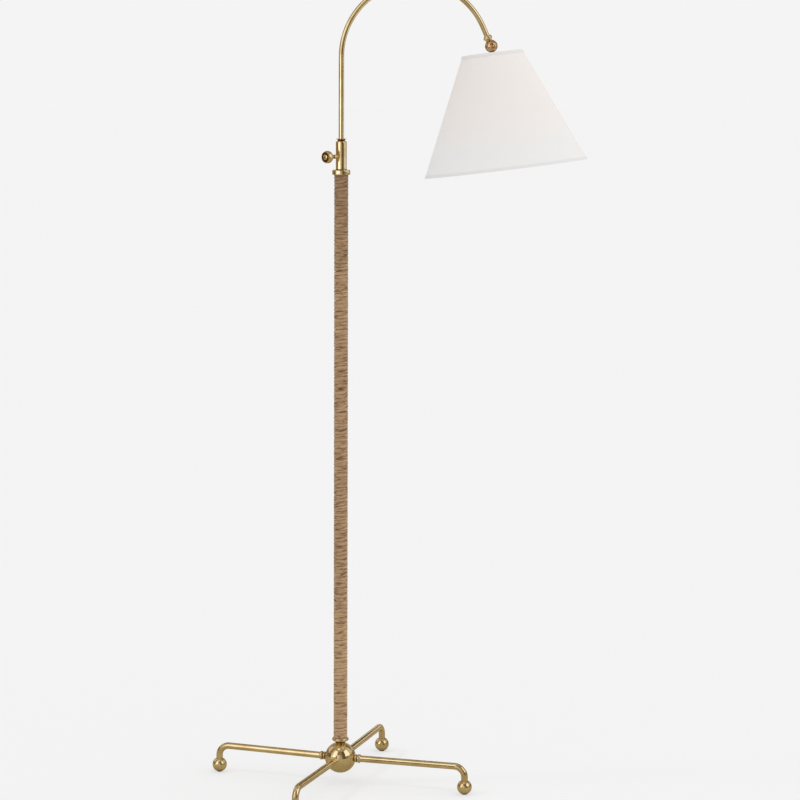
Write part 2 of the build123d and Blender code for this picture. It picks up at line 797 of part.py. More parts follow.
def bulb_solid(inset):
    """Pear-shaped solid: a neck that swells along a reversed curve into a ball."""
    start = bulb_cap_at + bulb_cap_h
    centre = start + bulb_centre_rise
    neck_r = bulb_cap_r - inset
    ball = bulb_r - inset
    half = math.sqrt(0.5)
    return turned(
        line((0, start), (neck_r, start)),
        Spline((neck_r, 0, start), (ball * half, 0, centre - ball * half), tangents=((0, 0, 1), (1, 0, 1))),
        ThreePointArc((ball * half, 0, centre - ball * half), (ball, 0, centre), (0, 0, centre + ball)),
        line((0, centre + ball), (0, start)))


def make_bulb_glass():
    return in_head(bulb_solid(0) - bulb_solid(bulb_glass_wall))


def make_switch_key():
    """Stem and flat oval key."""
    paddle = extrude(Pos(0, 0, key_reach) * SlotOverall(key_w, key_t, rotation=90), key_len)
    paddle = fillet(paddle.faces().filter_by(Axis.Z).edges(), key_round_r)
    return in_head(key_place() * (rod(key_stem_r, key_stem_inner, key_reach + key_round_r) + paddle))


def make_stand():
    pieces = {"hub": make_hub(), "hub_cap": make_hub_cap(), "cord_bushing": make_cord_bushing()}
    socket = Pos(0, 0, socket_seat) * make_leg_socket()
    leg = make_leg()
    for name, turn in leg_turns_deg.items():
        pieces["leg_socket_" + name] = leg_place(turn) * socket
        pieces["leg_" + name] = Rot(0, 0, base_turn_deg + turn) * leg
    for name, foot in at_feet(make_ball_foot()).items():
        pieces["ball_foot_" + name] = foot
    for name, pad in at_feet(make_foot_pad()).items():
        pieces["foot_pad_" + name] = pad
    pieces["foot_screws"] = Compound(list(at_feet(make_foot_screw()).values()))
    pieces["foot_plugs"] = Compound(list(at_feet(make_foot_plug()).values()))
    pieces["base_nipple"] = make_base_nipple()
    pieces["base_washer"] = make_base_washer()
    pieces["base_nut"] = make_base_nut()
    return pieces


def make_column():
    turns, core = make_rope()
    return {
        "base_cup": make_base_cup(), "column_plug": make_column_plug(), "column_tube": make_column_tube(),
        "rope_turns": Compound(turns), "rope_core": core, "column_flange": make_flange(),
        "clamp_sleeve": make_sleeve(), "clamp_collet": make_collet(), "sleeve_cap": make_sleeve_cap(),
        "thumb_stud": make_thumb_stud(), "thumb_knob": make_thumb_knob(),
    }


def make_arm():
    return {
        "arm_tube": make_arm_tube(), "arm_glide": make_arm_glide(), "knuckle_collar": make_knuckle_collar(),
        "swivel_ball": make_swivel_ball(), "stem_clip": make_stem_clip(),
        "pivot_screw": make_pivot_screw(), "pivot_nut": make_pivot_nut(),
    }


def make_head():
    return {
        "swivel_tongue": make_tongue(), "head_nipple": make_head_nipple(), "shade_spider": make_shade_spider(),
        "shade_lower_ring": make_lower_ring(), "shade_skin": make_shade_skin(),
        "rim_tape_top": make_rim_tape(shade_top_r, shade_top_at, 1),
        "rim_tape_bottom": make_rim_tape(shade_bottom_r, shade_bottom_at, -1),
        "head_washer": make_head_washer(), "head_nut": make_head_nut(), "socket_cap": make_socket_cap(),
        "socket_shell": make_socket_shell(), "socket_body": make_socket_body(),
        "socket_screw_shell": make_screw_shell(), "bulb_base": make_bulb_base(),
        "bulb_glass": make_bulb_glass(), "switch_key": make_switch_key(),
    }


pieces = make_stand() | make_column() | make_arm() | make_head()
for name, piece in pieces.items():
    export_step(piece, os.path.join("parts", name + ".step"))
print("pieces:", len(pieces), "least gap of the rope to itself:", round(least_rope_gap(), 3))
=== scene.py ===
"""Task floor lamp: brass stand, rope-wound column, bent arm and a white cone shade."""

import logging
import math
from collections.abc import Sequence
from dataclasses import dataclass, field
from enum import Enum
from functools import cache

import bmesh
import bpy
import numpy as np
from mathutils import Matrix


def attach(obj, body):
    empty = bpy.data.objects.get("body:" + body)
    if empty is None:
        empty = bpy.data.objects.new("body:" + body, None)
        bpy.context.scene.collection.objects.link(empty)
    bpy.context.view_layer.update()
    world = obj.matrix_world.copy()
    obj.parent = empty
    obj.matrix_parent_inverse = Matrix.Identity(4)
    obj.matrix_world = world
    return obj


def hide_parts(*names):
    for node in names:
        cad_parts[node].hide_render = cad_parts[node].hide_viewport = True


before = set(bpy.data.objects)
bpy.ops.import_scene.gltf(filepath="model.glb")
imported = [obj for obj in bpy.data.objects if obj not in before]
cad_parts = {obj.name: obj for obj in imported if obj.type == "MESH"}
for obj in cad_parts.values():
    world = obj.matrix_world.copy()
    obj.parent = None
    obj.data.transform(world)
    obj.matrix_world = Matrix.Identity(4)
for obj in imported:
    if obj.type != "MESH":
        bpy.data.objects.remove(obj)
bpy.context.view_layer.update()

LOG = logging.getLogger("task_lamp")
MM = 0.001
SMOOTH_ANGLE = math.radians(32)

Point = tuple[float, float]
Colour = tuple[float, float, float]


class Body(Enum):
    """The bodies that the lamp's pieces ride on."""

    BASE = "base"
    THUMB_SCREW = "thumb_screw"
    ARM = "arm"
    SWIVEL = "swivel"
    HEAD = "head"
    SWITCH = "switch"


class Outline(Enum):
    """How an outline closes: against the axis, or round on itself."""

    SOLID = "from the axis back to the axis"
    RING = "round on itself, clear of the axis"


# Shader graph


def linear(colour: Colour) -> tuple[float, float, float, float]:
    """Scene-linear colour of a screen colour.

    Args:
        colour: Red, green and blue from 0 to 255.

    Returns:
        The same colour as the shader takes it, with an alpha of 1.
    """
    share = np.array(colour) / 255
    value = np.where(share <= 0.04045, share / 12.92, ((share + 0.055) / 1.055) ** 2.4)
    return (*(float(v) for v in value), 1.0)


class Signal:
    """A number socket of a shader graph. Arithmetic on it adds Math nodes."""

    def __init__(self, graph: "ShaderGraph", socket: bpy.types.NodeSocket) -> None:
        """Wraps a socket of the graph."""
        self.graph = graph
        self.socket = socket

    def _math(self, operation: str, first: "Signal | float", second: "Signal | float | None" = None) -> "Signal":
        """Adds one Math node and returns its result."""
        values = {0: first} if second is None else {0: first, 1: second}
        return self.graph.signal(self.graph.node("ShaderNodeMath", {"operation": operation}, values))

    def __add__(self, other: "Signal | float") -> "Signal":
        """Sum."""
        return self._math("ADD", self, other)

    def __sub__(self, other: "Signal | float") -> "Signal":
        """Difference."""
        return self._math("SUBTRACT", self, other)

    def __rsub__(self, other: "Signal | float") -> "Signal":
        """Difference, with this signal taken away."""
        return self._math("SUBTRACT", other, self)

    def __mul__(self, other: "Signal | float") -> "Signal":
        """Product."""
        return self._math("MULTIPLY", self, other)

    def __pow__(self, other: "Signal | float") -> "Signal":
        """Power."""
        return self._math("POWER", self, other)

    __radd__ = __add__
    __rmul__ = __mul__

    def sine(self) -> "Signal":
        """Sine of the signal, in radians."""
        return self._math("SINE", self)

    def floor(self) -> "Signal":
        """Whole part of the signal."""
        return self._math("FLOOR", self)

    def size(self) -> "Signal":
        """The signal without its sign."""
        return self._math("ABSOLUTE", self)

    def over(self, low: float, high: float) -> "Signal":
        """Smooth step from 0 at low to 1 at high."""
        settings = {"interpolation_type": "SMOOTHSTEP"}
        values = {"Value": self, "From Min": low, "From Max": high}
        return self.graph.signal(self.graph.node("ShaderNodeMapRange", settings, values))


class ShaderGraph:
    """The node tree of one material, with a Principled shader on its output."""

    def __init__(self, name: str) -> None:
        """Makes the material and its two fixed nodes."""
        self.material = bpy.data.materials.new(name)
        self.material.use_nodes = True
        self.tree = self.material.node_tree
        self.tree.nodes.clear()
        self.shader = self.node("ShaderNodeBsdfPrincipled")
        output = self.node("ShaderNodeOutputMaterial")
        self.tree.links.new(self.shader.outputs["BSDF"], output.inputs["Surface"])

    def node(self, kind: str, settings: dict[str, object] | None = None,
             sockets: dict[str | int, object] | None = None) -> bpy.types.Node:
        """Adds a node.

        Args:
            kind: The node's type.
            settings: Its properties, set first. "stops" are a ramp's positions and colours.
            sockets: A value or a link for each named or numbered input.

        Returns:
            The new node.
        """
        made = self.tree.nodes.new(kind)
        for name, value in (settings or {}).items():
            if name == "stops":
                self._set_stops(made.color_ramp.elements, value)
            else:
                setattr(made, name, value)
        self.feed(made, sockets or {})
        return made

    def _set_stops(self, elements: bpy.types.bpy_prop_collection, stops: Sequence[tuple[float, Colour]]) -> None:
        """Gives a ramp its stops."""
        while len(elements) < len(stops):
            elements.new(1.0)
        for element, (position, colour) in zip(elements, stops):
            element.position = position
            element.color = linear(colour)

    def feed(self, node: bpy.types.Node, sockets: dict[str | int, object]) -> None:
        """Sets or links a node's inputs."""
        for name, value in sockets.items():
            if isinstance(value, Signal):
                self.tree.links.new(value.socket, node.inputs[name])
            elif isinstance(value, bpy.types.NodeSocket):
                self.tree.links.new(value, node.inputs[name])
            else:
                node.inputs[name].default_value = value

    def signal(self, node: bpy.types.Node, output: str | int = 0) -> Signal:
        """One output of a node as a signal."""
        return Signal(self, node.outputs[output])

    def place(self) -> bpy.types.NodeSocket:
        """The point on the surface, in the lamp's own frame."""
        return self.node("ShaderNodeTexCoord").outputs["Object"]

    def sheet_place(self) -> tuple[Signal, Signal]:
        """The piece's own two surface coordinates."""
        parts = self.node("ShaderNodeSeparateXYZ", {}, {0: self.node("ShaderNodeTexCoord").outputs["UV"]})
        return self.signal(parts, "X"), self.signal(parts, "Y")

    def reading(self, name: str) -> Signal:
        """A number that the mesh carries at each corner of its surface."""
        return self.signal(self.node("ShaderNodeAttribute", {"attribute_name": name}), "Fac")

    def point(self, x: Signal | float, y: Signal | float, z: Signal | float = 0.0) -> bpy.types.NodeSocket:
        """A point put together from three numbers."""
        return self.node("ShaderNodeCombineXYZ", {}, {"X": x, "Y": y, "Z": z}).outputs[0]

    def noise(self, at: bpy.types.NodeSocket, scale: float, detail: float = 3.0, rough: float = 0.5) -> Signal:
        """Smooth noise from 0 to 1, with features of about 1 / scale."""
        values = {"Vector": at, "Scale": scale, "Detail": detail, "Roughness": rough}
        return self.signal(self.node("ShaderNodeTexNoise", {}, values), "Fac")

    def mixed(self, share: Signal | float, first: object, second: object) -> bpy.types.NodeSocket:
        """A colour between two colours.

        Args:
            share: 0 gives the first colour and 1 the second.
            first: A screen colour or a colour socket.
            second: A screen colour or a colour socket.

        Returns:
            The mixed colour's socket.
        """
        ends = [c if isinstance(c, bpy.types.NodeSocket) else linear(c) for c in (first, second)]
        return self.node("ShaderNodeMix", {"data_type": "RGBA"}, {0: share, 6: ends[0], 7: ends[1]}).outputs[2]

    def relief(self, height: Signal, depth: float, strength: float = 1.0) -> bpy.types.NodeSocket:
        """A normal bent by a height from 0 to 1 that stands for depth metres."""
        values = {"Height": height, "Distance": depth, "Strength": strength}
        return self.node("ShaderNodeBump", {}, values).outputs[0]


@dataclass(frozen=True)
class Finish:
    """A plain finish, the same all over.

    Attributes:
        slot: The record's material slot.
        colour: Screen colour, from 0 to 255.
        rough: Roughness.
        metal: 1 for bare metal.
    """

    slot: str
    colour: Colour
    rough: float = 0.5
    metal: float = 0.0

    def wire(self, graph: ShaderGraph) -> None:
        """Sets the shader for this finish."""
        graph.feed(graph.shader, {"Base Color": linear(self.colour), "Roughness": self.rough,
                                  "Metallic": self.metal})


@dataclass(frozen=True)
class AgedBrass(Finish):
    """Polished brass under a thin uneven tarnish in soft patches, with painted shade in its grooves: amber where they
    are shallow and dark where they are deep.
    """

    shade: Colour = (208, 178, 122)
    amber: Colour = (186, 120, 58)
    dark: Colour = (84, 50, 22)
    patch_scale: float = 26.0
    fleck_scale: float = 1400.0
    rough_spread: float = 0.05

    def wire(self, graph: ShaderGraph) -> None:
        """Mixes clean and tarnished brass by soft patches, paints shade into the grooves and roughens them."""
        at = graph.place()
        patch = graph.noise(at, self.patch_scale, 5.0, 0.62).over(0.32, 0.7)
        fleck = graph.noise(at, self.fleck_scale, 2.0)
        groove = graph.reading("hollow")
        rough = self.rough + self.rough_spread * (patch * 0.7 + fleck * 0.3 - 0.4) + groove * 0.14
        body = graph.mixed(patch * 0.6, self.colour, self.shade)
        # Painted shade: grooves turn amber, and the deepest ones turn dark.
        groove_shaded = graph.mixed(groove.over(0.05, 0.7) * 0.9, body, self.amber)
        graph.feed(graph.shader, {
            "Base Color": graph.mixed(groove.over(0.55, 1.0) * 0.9, groove_shaded, self.dark),
            "Roughness": rough, "Metallic": 1.0,
            "Normal": graph.relief(fleck, 0.000004, 0.08),
        })


@dataclass(frozen=True)
class TwistedFibre(Finish):
    """Three-strand rope of plant fibre.

    The first surface coordinate is the length along the rope in metres and the second the share of a
    turn round it. A strand keeps to a line where the turn round the rope grows with the length.
    """

    pale: Colour = (188, 154, 115)
    dark: Colour = (86, 58, 32)
    strands: int = 3
    lay: float = 0.9
    fibre_scale: float = 9.5
    fibre_run: float = 62.0

    def wire(self, graph: ShaderGraph) -> None:
        """Streaks along the rope with dark lines between them, a tone for each strand, a tone that changes with height,
        and painted shade in the hollows between strands and turns and on the side that faces the column.
        """
        run, round_it = graph.sheet_place()
        across = round_it - run * (1 / self.lay)
        streak = graph.noise(graph.point(across * self.fibre_scale, run * self.fibre_run), 1.0, 4.0, 0.65)
        tone = graph.noise(graph.point((across * float(self.strands)).floor() * 3.7, run * 26.0, 4.0), 1.0, 2.0)
        at = graph.place()
        blotch = graph.noise(at, 55.0, 3.0)
        height = graph.signal(graph.node("ShaderNodeSeparateXYZ", {}, {0: at}), "Z")
        # Lighter below about 0.42 m and darker above about 0.95 m.
        height_tone = height.over(0.42, 0.22) * 0.1 - height.over(0.95, 1.15) * 0.12
        bright = (streak * 0.9 + tone * 0.12 + blotch * 0.06 + height_tone).over(0.34, 0.72)
        body = graph.mixed(bright, self.colour, self.pale)
        line = (1 - streak).over(0.49, 0.64) * 0.7
        # Painted shade from the hollow reading, plus the fibres' own dark lines.
        hollow = graph.reading("hollow") * 1.1 + line
        graph.feed(graph.shader, {
            "Base Color": graph.mixed(hollow.over(0.14, 1.1) * 0.9, body, self.dark),
            "Roughness": self.rough,
            "Sheen Weight": 0.15,
            "Normal": graph.relief(streak, 0.0006, 0.8),
        })


@dataclass(frozen=True)
class ShadeCloth(Finish):
    """Fine linen over a stiff liner: threads run straight on the flat cut, and a painted glow stands in for the lamp's
    light, warm near the top and greyer towards the bottom.
    """

    lower: Colour = (232, 232, 232)
    thread: float = 0.0007
    slub_scale: float = 900.0
    glow: float = 0.05
    fuzz: float = 0.22

    def wire(self, graph: ShaderGraph) -> None:
        """Plain weave as the product of two sine waves, thicker threads as stretched noise, and a painted glow."""
        u, v = graph.sheet_place()
        wave = 2 * math.pi / self.thread
        weave = (u * wave).sine() * (v * wave).sine() * 0.5 + 0.5
        along = graph.noise(graph.point(u * 60.0, v * self.slub_scale), 1.0, 2.0)
        across = graph.noise(graph.point(u * self.slub_scale, v * 60.0, 7.0), 1.0, 2.0)
        slub = (along + across) * 0.5
        drop = graph.reading("drop")
        # Painted glow in the base colour: warm above, greyer towards the bottom.
        glow_tint = graph.mixed(drop.over(0.5, 1.0), self.colour, self.lower)
        graph.feed(graph.shader, {
            "Base Color": graph.mixed((slub - 0.5).size() * 0.35, glow_tint, (206, 200, 192)),
            "Roughness": self.rough, "Sheen Weight": self.fuzz, "Sheen Roughness": 0.35,
            # Painted glow: faint light of the cloth's own, warmest near the top.
            "Emission Color": graph.mixed(drop.over(0.1, 0.95), (255, 236, 208), (255, 250, 244)),
            "Emission Strength": self.glow,
            "Normal": graph.relief(weave * 0.4 + slub * 0.6, 0.00009, 0.5),
        })


@dataclass(frozen=True)
class OpalGlass(Finish):
    """White glass with a clear skin."""

    def wire(self, graph: ShaderGraph) -> None:
        """A white body under a glossy coat."""
        super().wire(graph)
        graph.feed(graph.shader, {"Coat Weight": 0.6, "Coat Roughness": 0.08, "Subsurface Weight": 0.2,
                                  "Subsurface Scale": 0.004})


@dataclass(frozen=True)
class Lit(Finish):
    """Evenly shining panel."""

    glow: float = 1.0

    def wire(self, graph: ShaderGraph) -> None:
        """Black, with light of its own."""
        graph.feed(graph.shader, {"Base Color": linear((0, 0, 0)), "Specular IOR Level": 0.0, "Roughness": 1.0,
                                  "Emission Color": linear(self.colour), "Emission Strength": self.glow})


@dataclass(frozen=True)
class PaleFloor(Finish):
    """Matte floor whose brightness, where it is seen, is partly its own, so that shadows stay faint."""

    own: float = 0.6

    def wire(self, graph: ShaderGraph) -> None:
        """Swaps a share of the reflected light for its own light, but only for rays that show the floor."""
        path = graph.node("ShaderNodeLightPath")
        seen = sum((graph.signal(path, f"Is {kind} Ray") for kind in ("Glossy", "Transmission")),
                   graph.signal(path, "Is Camera Ray"))
        value = linear(self.colour)[0]
        grey = [tuple(round(255 * (1.055 * (value * share) ** (1 / 2.4) - 0.055), 1) for _ in range(3))
                for share in (1 - self.own, self.own)]
        graph.feed(graph.shader, {
            "Base Color": graph.mixed(seen, self.colour, grey[0]), "Roughness": 1.0, "Specular IOR Level": 0.0,
            "Emission Color": graph.mixed(seen, (0, 0, 0), grey[1]), "Emission Strength": 1.0,
        })


class Finishes:
    """Every finish on the lamp."""

    BRASS = AgedBrass("satin_brass", (248, 231, 189), 0.08, 1.0)
    ROPE = TwistedFibre("natural_rope", (143, 110, 77), 0.86)
    SHADE = ShadeCloth("shade_linen", (235, 230, 227), 0.85)
    TAPE = Finish("shade_tape", (232, 230, 229), 0.8)
    WIRE = Finish("white_wire", (222, 221, 218), 0.4)
    RUBBER = Finish("black_plastic", (34, 33, 32), 0.6)
    STEEL = Finish("zinc_steel", (176, 176, 174), 0.36, 1.0)
    NYLON = Finish("nylon", (214, 209, 196), 0.45)
    SOCKET = AgedBrass("socket_brass", (206, 170, 110), 0.3, 1.0, patch_scale=60.0)
    PHENOLIC = Finish("phenolic", (38, 33, 30), 0.3)
    GLASS = OpalGlass("opal_glass", (238, 235, 228), 0.3)
    FLOOR = PaleFloor("floor", (244, 244, 244), 1.0)


@cache
def material_of(finish: Finish) -> bpy.types.Material:
    """The material of a finish, made once.

    Args:
        finish: What the surface is.

    Returns:
        The Blender material.
    """
    graph = ShaderGraph(finish.slot)
    finish.wire(graph)
    return graph.material


# Surfaces


def bow(start: Point, crest: Point, end: Point, steps: int = 12) -> list[Point]:
    """Part circle: the centre is as far from all three points, and the angle round it runs evenly.

    Args:
        start: First point.
        crest: A point between.
        end: Last point.
        steps: Number of short sides.

    Returns:
        The points from start to end.
    """
    a, b, c = (np.array(p, dtype=float) for p in (start, crest, end))
    ab, ac = b - a, c - a
    twice_area = 2 * (ab[0] * ac[1] - ab[1] * ac[0])
    centre = a + np.array([ac[1] * (ab @ ab) - ab[1] * (ac @ ac), ab[0] * (ac @ ac) - ac[0] * (ab @ ab)]) / twice_area
    first, middle, last = (math.atan2(*(p - centre)[::-1]) for p in (a, b, c))
    way = 1.0 if (middle - first + math.pi) % (2 * math.pi) > math.pi else -1.0
    sweep = way * ((way * (last - first)) % (2 * math.pi))
    angle = first + sweep * np.linspace(0, 1, steps + 1)
    reach = np.linalg.norm(a - centre)
    return list(zip(centre[0] + reach * np.cos(angle), centre[1] + reach * np.sin(angle)))


def eased(points: Sequence[Point], closing: Outline, ease: float, steps: int = 4) -> np.ndarray:
    """Outline with its sharp corners rounded.

    A corner that turns by more than 20 degrees becomes a curve through the corner's two neighbours at
    the ease distance: start (1 - t)^2 + corner 2 t (1 - t) + end t^2.

    Args:
        points: (radius, height) points.
        closing: Whether the outline closes on itself.
        ease: How far from a corner its rounding starts.
        steps: Number of short sides of a rounding.

    Returns:
        The rounded outline as an array of points.
    """
    given = np.array(points, dtype=float)
    given = given[np.append(True, np.linalg.norm(np.diff(given, axis=0), axis=1) > 1e-6)]
    share = np.linspace(0, 1, steps + 1)[:, None]
    made = []
    for index, corner in enumerate(given):
        at_end = closing is Outline.SOLID and index in (0, len(given) - 1)
        before, after = given[index - 1] - corner, given[(index + 1) % len(given)] - corner
        lengths = np.linalg.norm(before), np.linalg.norm(after)
        bend = math.pi - math.acos(np.clip(before @ after / (lengths[0] * lengths[1]), -1, 1))
        if at_end or bend < math.radians(20):
            made.append(corner[None])
            continue
        start = corner + before / lengths[0] * min(ease, 0.45 * lengths[0])
        end = corner + after / lengths[1] * min(ease, 0.45 * lengths[1])
        made.append(start * (1 - share) ** 2 + corner * 2 * share * (1 - share) + end * share ** 2)
    return np.vstack(made)


@dataclass(frozen=True)
class Place:
    """A local frame in millimetres: its origin, and the directions of its x, y and z as rows."""

    origin: np.ndarray
    axes: np.ndarray

    @classmethod
    def along(cls, origin: Sequence[float], way: Sequence[float], side: Sequence[float] = (0.0, 1.0, 0.0)) -> "Place":
        """The frame at origin whose z runs along way and whose y is as near to side as it can be."""
        z = np.array(way, dtype=float) / np.linalg.norm(way)
        x = np.cross(side if abs(z @ side) < 0.9 else (0.0, 0.0, 1.0), z)
        x /= np.linalg.norm(x)
        return cls(np.array(origin, dtype=float), np.stack([x, np.cross(z, x), z]))

    @classmethod
    def upright(cls, x: float = 0.0, y: float = 0.0, z: float = 0.0) -> "Place":
        """The lamp's own frame, moved."""
        return cls(np.array([x, y, z], dtype=float), np.eye(3))

    def of(self, points: np.ndarray) -> np.ndarray:
        """Local points in the lamp's frame."""
        return self.origin + points @ self.axes


FLOOR = Place.upright()


def surface(name: str, grid: np.ndarray, rows_close: bool, uv: np.ndarray | None = None,
            readings: dict[str, np.ndarray] | None = None, caps: bool = False) -> bpy.types.Object:
    """Mesh of a grid whose columns run round and close. Each cell of the grid is one face.

    Args:
        name: Name of the piece.
        grid: Points in millimetres, rows by columns by 3.
        rows_close: Whether the last row joins the first.
        uv: Surface coordinates, with one more column than the grid, and one more row if rows close.
        readings: Numbers per grid point that the finish reads, by name.
        caps: Whether the first and last rows are closed with a face each.

    Returns:
        The object, at the origin, with its faces pointing outwards.
    """
    rows, columns = grid.shape[:2]
    row, column = np.meshgrid(np.arange(rows if rows_close else rows - 1), np.arange(columns), indexing="ij")
    next_row, next_column = (row + 1) % rows, (column + 1) % columns
    corners = [(row, column), (row, next_column), (next_row, next_column), (next_row, column)]
    faces = np.stack([r * columns + c for r, c in corners], axis=-1).reshape(-1, 4)
    face_list = faces.tolist()
    if caps:
        face_list += [list(range(columns))[::-1], list(range((rows - 1) * columns, rows * columns))]
    mesh = bpy.data.meshes.new(name)
    mesh.from_pydata((grid.reshape(-1, 3) * MM).tolist(), [], face_list)
    if uv is not None:
        corner_uv = np.stack([uv[row, column], uv[row, column + 1], uv[row + 1, column + 1], uv[row + 1, column]], axis=2)
        flat = np.zeros((len(mesh.loops), 2), dtype=np.float32)
        flat[: faces.size] = corner_uv.reshape(-1, 2)
        mesh.uv_layers.new(name="surface").data.foreach_set("uv", flat.ravel())
    for key, values in (readings or {}).items():
        mesh.attributes.new(key, "FLOAT", "POINT").data.foreach_set("value", values.astype(np.float32).ravel())
    made = bpy.data.objects.new(name, mesh)
    bpy.context.collection.objects.link(made)
    return closed_up(made)


def closed_up(made: bpy.types.Object) -> bpy.types.Object:
    """Merges doubled points, points the faces outwards and shades the surface smooth between its edges."""
    work = bmesh.new()
    work.from_mesh(made.data)
    bmesh.ops.remove_doubles(work, verts=work.verts, dist=1e-7)
    bmesh.ops.dissolve_degenerate(work, edges=work.edges, dist=1e-8)
    bmesh.ops.recalc_face_normals(work, faces=work.faces)
    work.to_mesh(made.data)
    work.free()
    made.data.shade_smooth()
    made.data.set_sharp_from_angle(angle=SMOOTH_ANGLE)
    return made


def spaced(outline: np.ndarray, closing: Outline, gap: float = 2.0) -> np.ndarray:
    """The outline with points added, so that no side is longer than gap."""
    ring = np.vstack([outline, outline[:1]]) if closing is Outline.RING else outline
    side = np.diff(ring, axis=0)
    counts = np.ceil(np.linalg.norm(side, axis=1) / gap).astype(int)
    index = np.repeat(np.arange(len(side)), counts)
    step = (np.arange(counts.sum()) - np.repeat(np.cumsum(counts) - counts, counts)) / counts[index]
    made = ring[index] + step[:, None] * side[index]
    return made if closing is Outline.RING else np.vstack([made, ring[-1:]])


def sunk(outline: np.ndarray, reach: float = 1.6, full: float = 0.4) -> np.ndarray:
    """How deep each outline point lies in a groove, from 0 to 1.

    A point's depth is how far out of the material the middle of its two neighbours lies, which are
    reach millimetres before and after it along the outline.
    """
    ring = np.vstack([outline, outline[:1]])
    run = np.append(0.0, np.cumsum(np.linalg.norm(np.diff(ring, axis=0), axis=1)))
    before, after = (np.stack([np.interp((run[:-1] + d) % run[-1], run, ring[:, k]) for k in (0, 1)], axis=1)
                     for d in (-reach, reach))
    area = np.sum(ring[:-1, 0] * ring[1:, 1] - ring[1:, 0] * ring[:-1, 1])
    way = (after - before) * np.sign(area)
    out = np.stack([way[:, 1], -way[:, 0]], axis=1) / np.maximum(np.linalg.norm(way, axis=1, keepdims=True), 1e-9)
    depth = np.sum(((before + after) / 2 - outline) * out, axis=1)
    return np.clip(depth / full, 0.0, 1.0)


def turned(name: str, points: Sequence[Point], closing: Outline = Outline.SOLID, place: Place = FLOOR,
           ease: float = 0.35, sides: int = 96, dull: float = 0.0) -> bpy.types.Object:
    """Turned piece: an outline point (r, h) goes to (r cos a, r sin a, h) as a runs through a turn.

    Args:
        name: Name of the piece.
        points: The outline, in millimetres.
        closing: Whether it closes on the axis or on itself.
        place: The local frame whose z is the axis.
        ease: Rounding of its sharp corners.
        sides: Steps of the full turn.
        dull: Least painted shade all over, from 0 to 1.

    Returns:
        The object, with its grooves read as hollows.
    """
    outline = spaced(eased(points, closing, ease), closing)
    angle = 2 * np.pi * np.arange(sides) / sides
    radius, height = outline[:, 0, None], outline[:, 1, None]
    grid = np.stack([radius * np.cos(angle), radius * np.sin(angle), height + 0 * angle], axis=-1)
    hollow = np.broadcast_to(np.maximum(sunk(outline), dull)[:, None], grid.shape[:2])
    return surface(name, place.of(grid), closing is Outline.RING, readings={"hollow": hollow})


def bar(name: str, path: np.ndarray, side: np.ndarray, radius: float, sides: int = 40) -> bpy.types.Object:
    """Round bar along a path in one plane: path + radius (cos a side + sin a (way x side)).

    Args:
        name: Name of the piece.
        path: Points of the centreline, in millimetres.
        side: Unit vector square to the path's plane.
        radius: The bar's radius.
        sides: Steps round it.

    Returns:
        The object, closed at both ends.
    """
    way = np.gradient(path, axis=0)
    way[0], way[-1] = path[1] - path[0], path[-1] - path[-2]
    way /= np.linalg.norm(way, axis=1, keepdims=True)
    other = np.cross(way, side)
    angle = 2 * np.pi * np.arange(sides) / sides
    grid = path[:, None] + radius * (np.cos(angle)[:, None] * side + np.sin(angle)[:, None] * other[:, None])
    return surface(name, grid, False, caps=True)


def joined(name: str, *parts: bpy.types.Object) -> bpy.types.Object:
    """One object of several that are one real piece."""
    mesh = bpy.data.meshes.new(name)
    work = bmesh.new()
    for part in parts:
        work.from_mesh(part.data)
        bpy.data.objects.remove(part)
    work.to_mesh(mesh)
    work.free()
    made = bpy.data.objects.new(name, mesh)
    bpy.context.collection.objects.link(made)
    mesh.shade_smooth()
    mesh.set_sharp_from_angle(angle=SMOOTH_ANGLE)
    return made


def carved(made: bpy.types.Object, *tools: bpy.types.Object) -> bpy.types.Object:
    """The piece less each tool's solid. The tools are used up."""
    for tool in tools:
        cut = made.modifiers.new("cut", "BOOLEAN")
        cut.operation, cut.solver, cut.object = "DIFFERENCE", "EXACT", tool
    graph = bpy.context.evaluated_depsgraph_get()
    mesh = bpy.data.meshes.new_from_object(made.evaluated_get(graph))
    made.modifiers.clear()
    made.data = mesh
    for tool in tools:
        bpy.data.objects.remove(tool)
    return closed_up(made)


def box_tool(low: Sequence[float], high: Sequence[float], place: Place) -> bpy.types.Object:
    """Plain box between two corners of a local frame, as a tool to cut with."""
    a, b = np.array(low, dtype=float), np.array(high, dtype=float)
    ring = np.array([[a[0], a[1]], [b[0], a[1]], [b[0], b[1]], [a[0], b[1]]])
    grid = np.stack([np.column_stack([ring, np.full(4, z)]) for z in (a[2], b[2])])
    return surface("tool", place.of(grid), False, caps=True)


def smooth_copy(node: str, name: str) -> bpy.types.Object:
    """Copy of a CAD node with its points merged and its round faces shaded smooth."""
    made = bpy.data.objects.new(name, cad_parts[node].data.copy())
    made.data.materials.clear()
    bpy.context.collection.objects.link(made)
    return closed_up(made)


def dressed(made: bpy.types.Object, finish: Finish, body: Body, *nodes: str) -> bpy.types.Object:
    """Gives a piece its finish and its body, and hides the CAD nodes that it stands for.

    Args:
        made: The piece.
        finish: Its finish.
        body: The body that it rides on.
        nodes: The CAD nodes.

    Returns:
        The piece.
    """
    made.data.materials.append(material_of(finish))
    if nodes:
        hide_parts(*nodes)
    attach(made, body.value)
    LOG.info("%s: %d faces", made.name, len(made.data.polygons))
    return made


def dress_nodes(finish: Finish, *nodes: str) -> None:
    """Gives CAD nodes that stay as they are their finish."""
    for node in nodes:
        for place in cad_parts[node].material_slots:
            place.material = material_of(finish)


# Stand


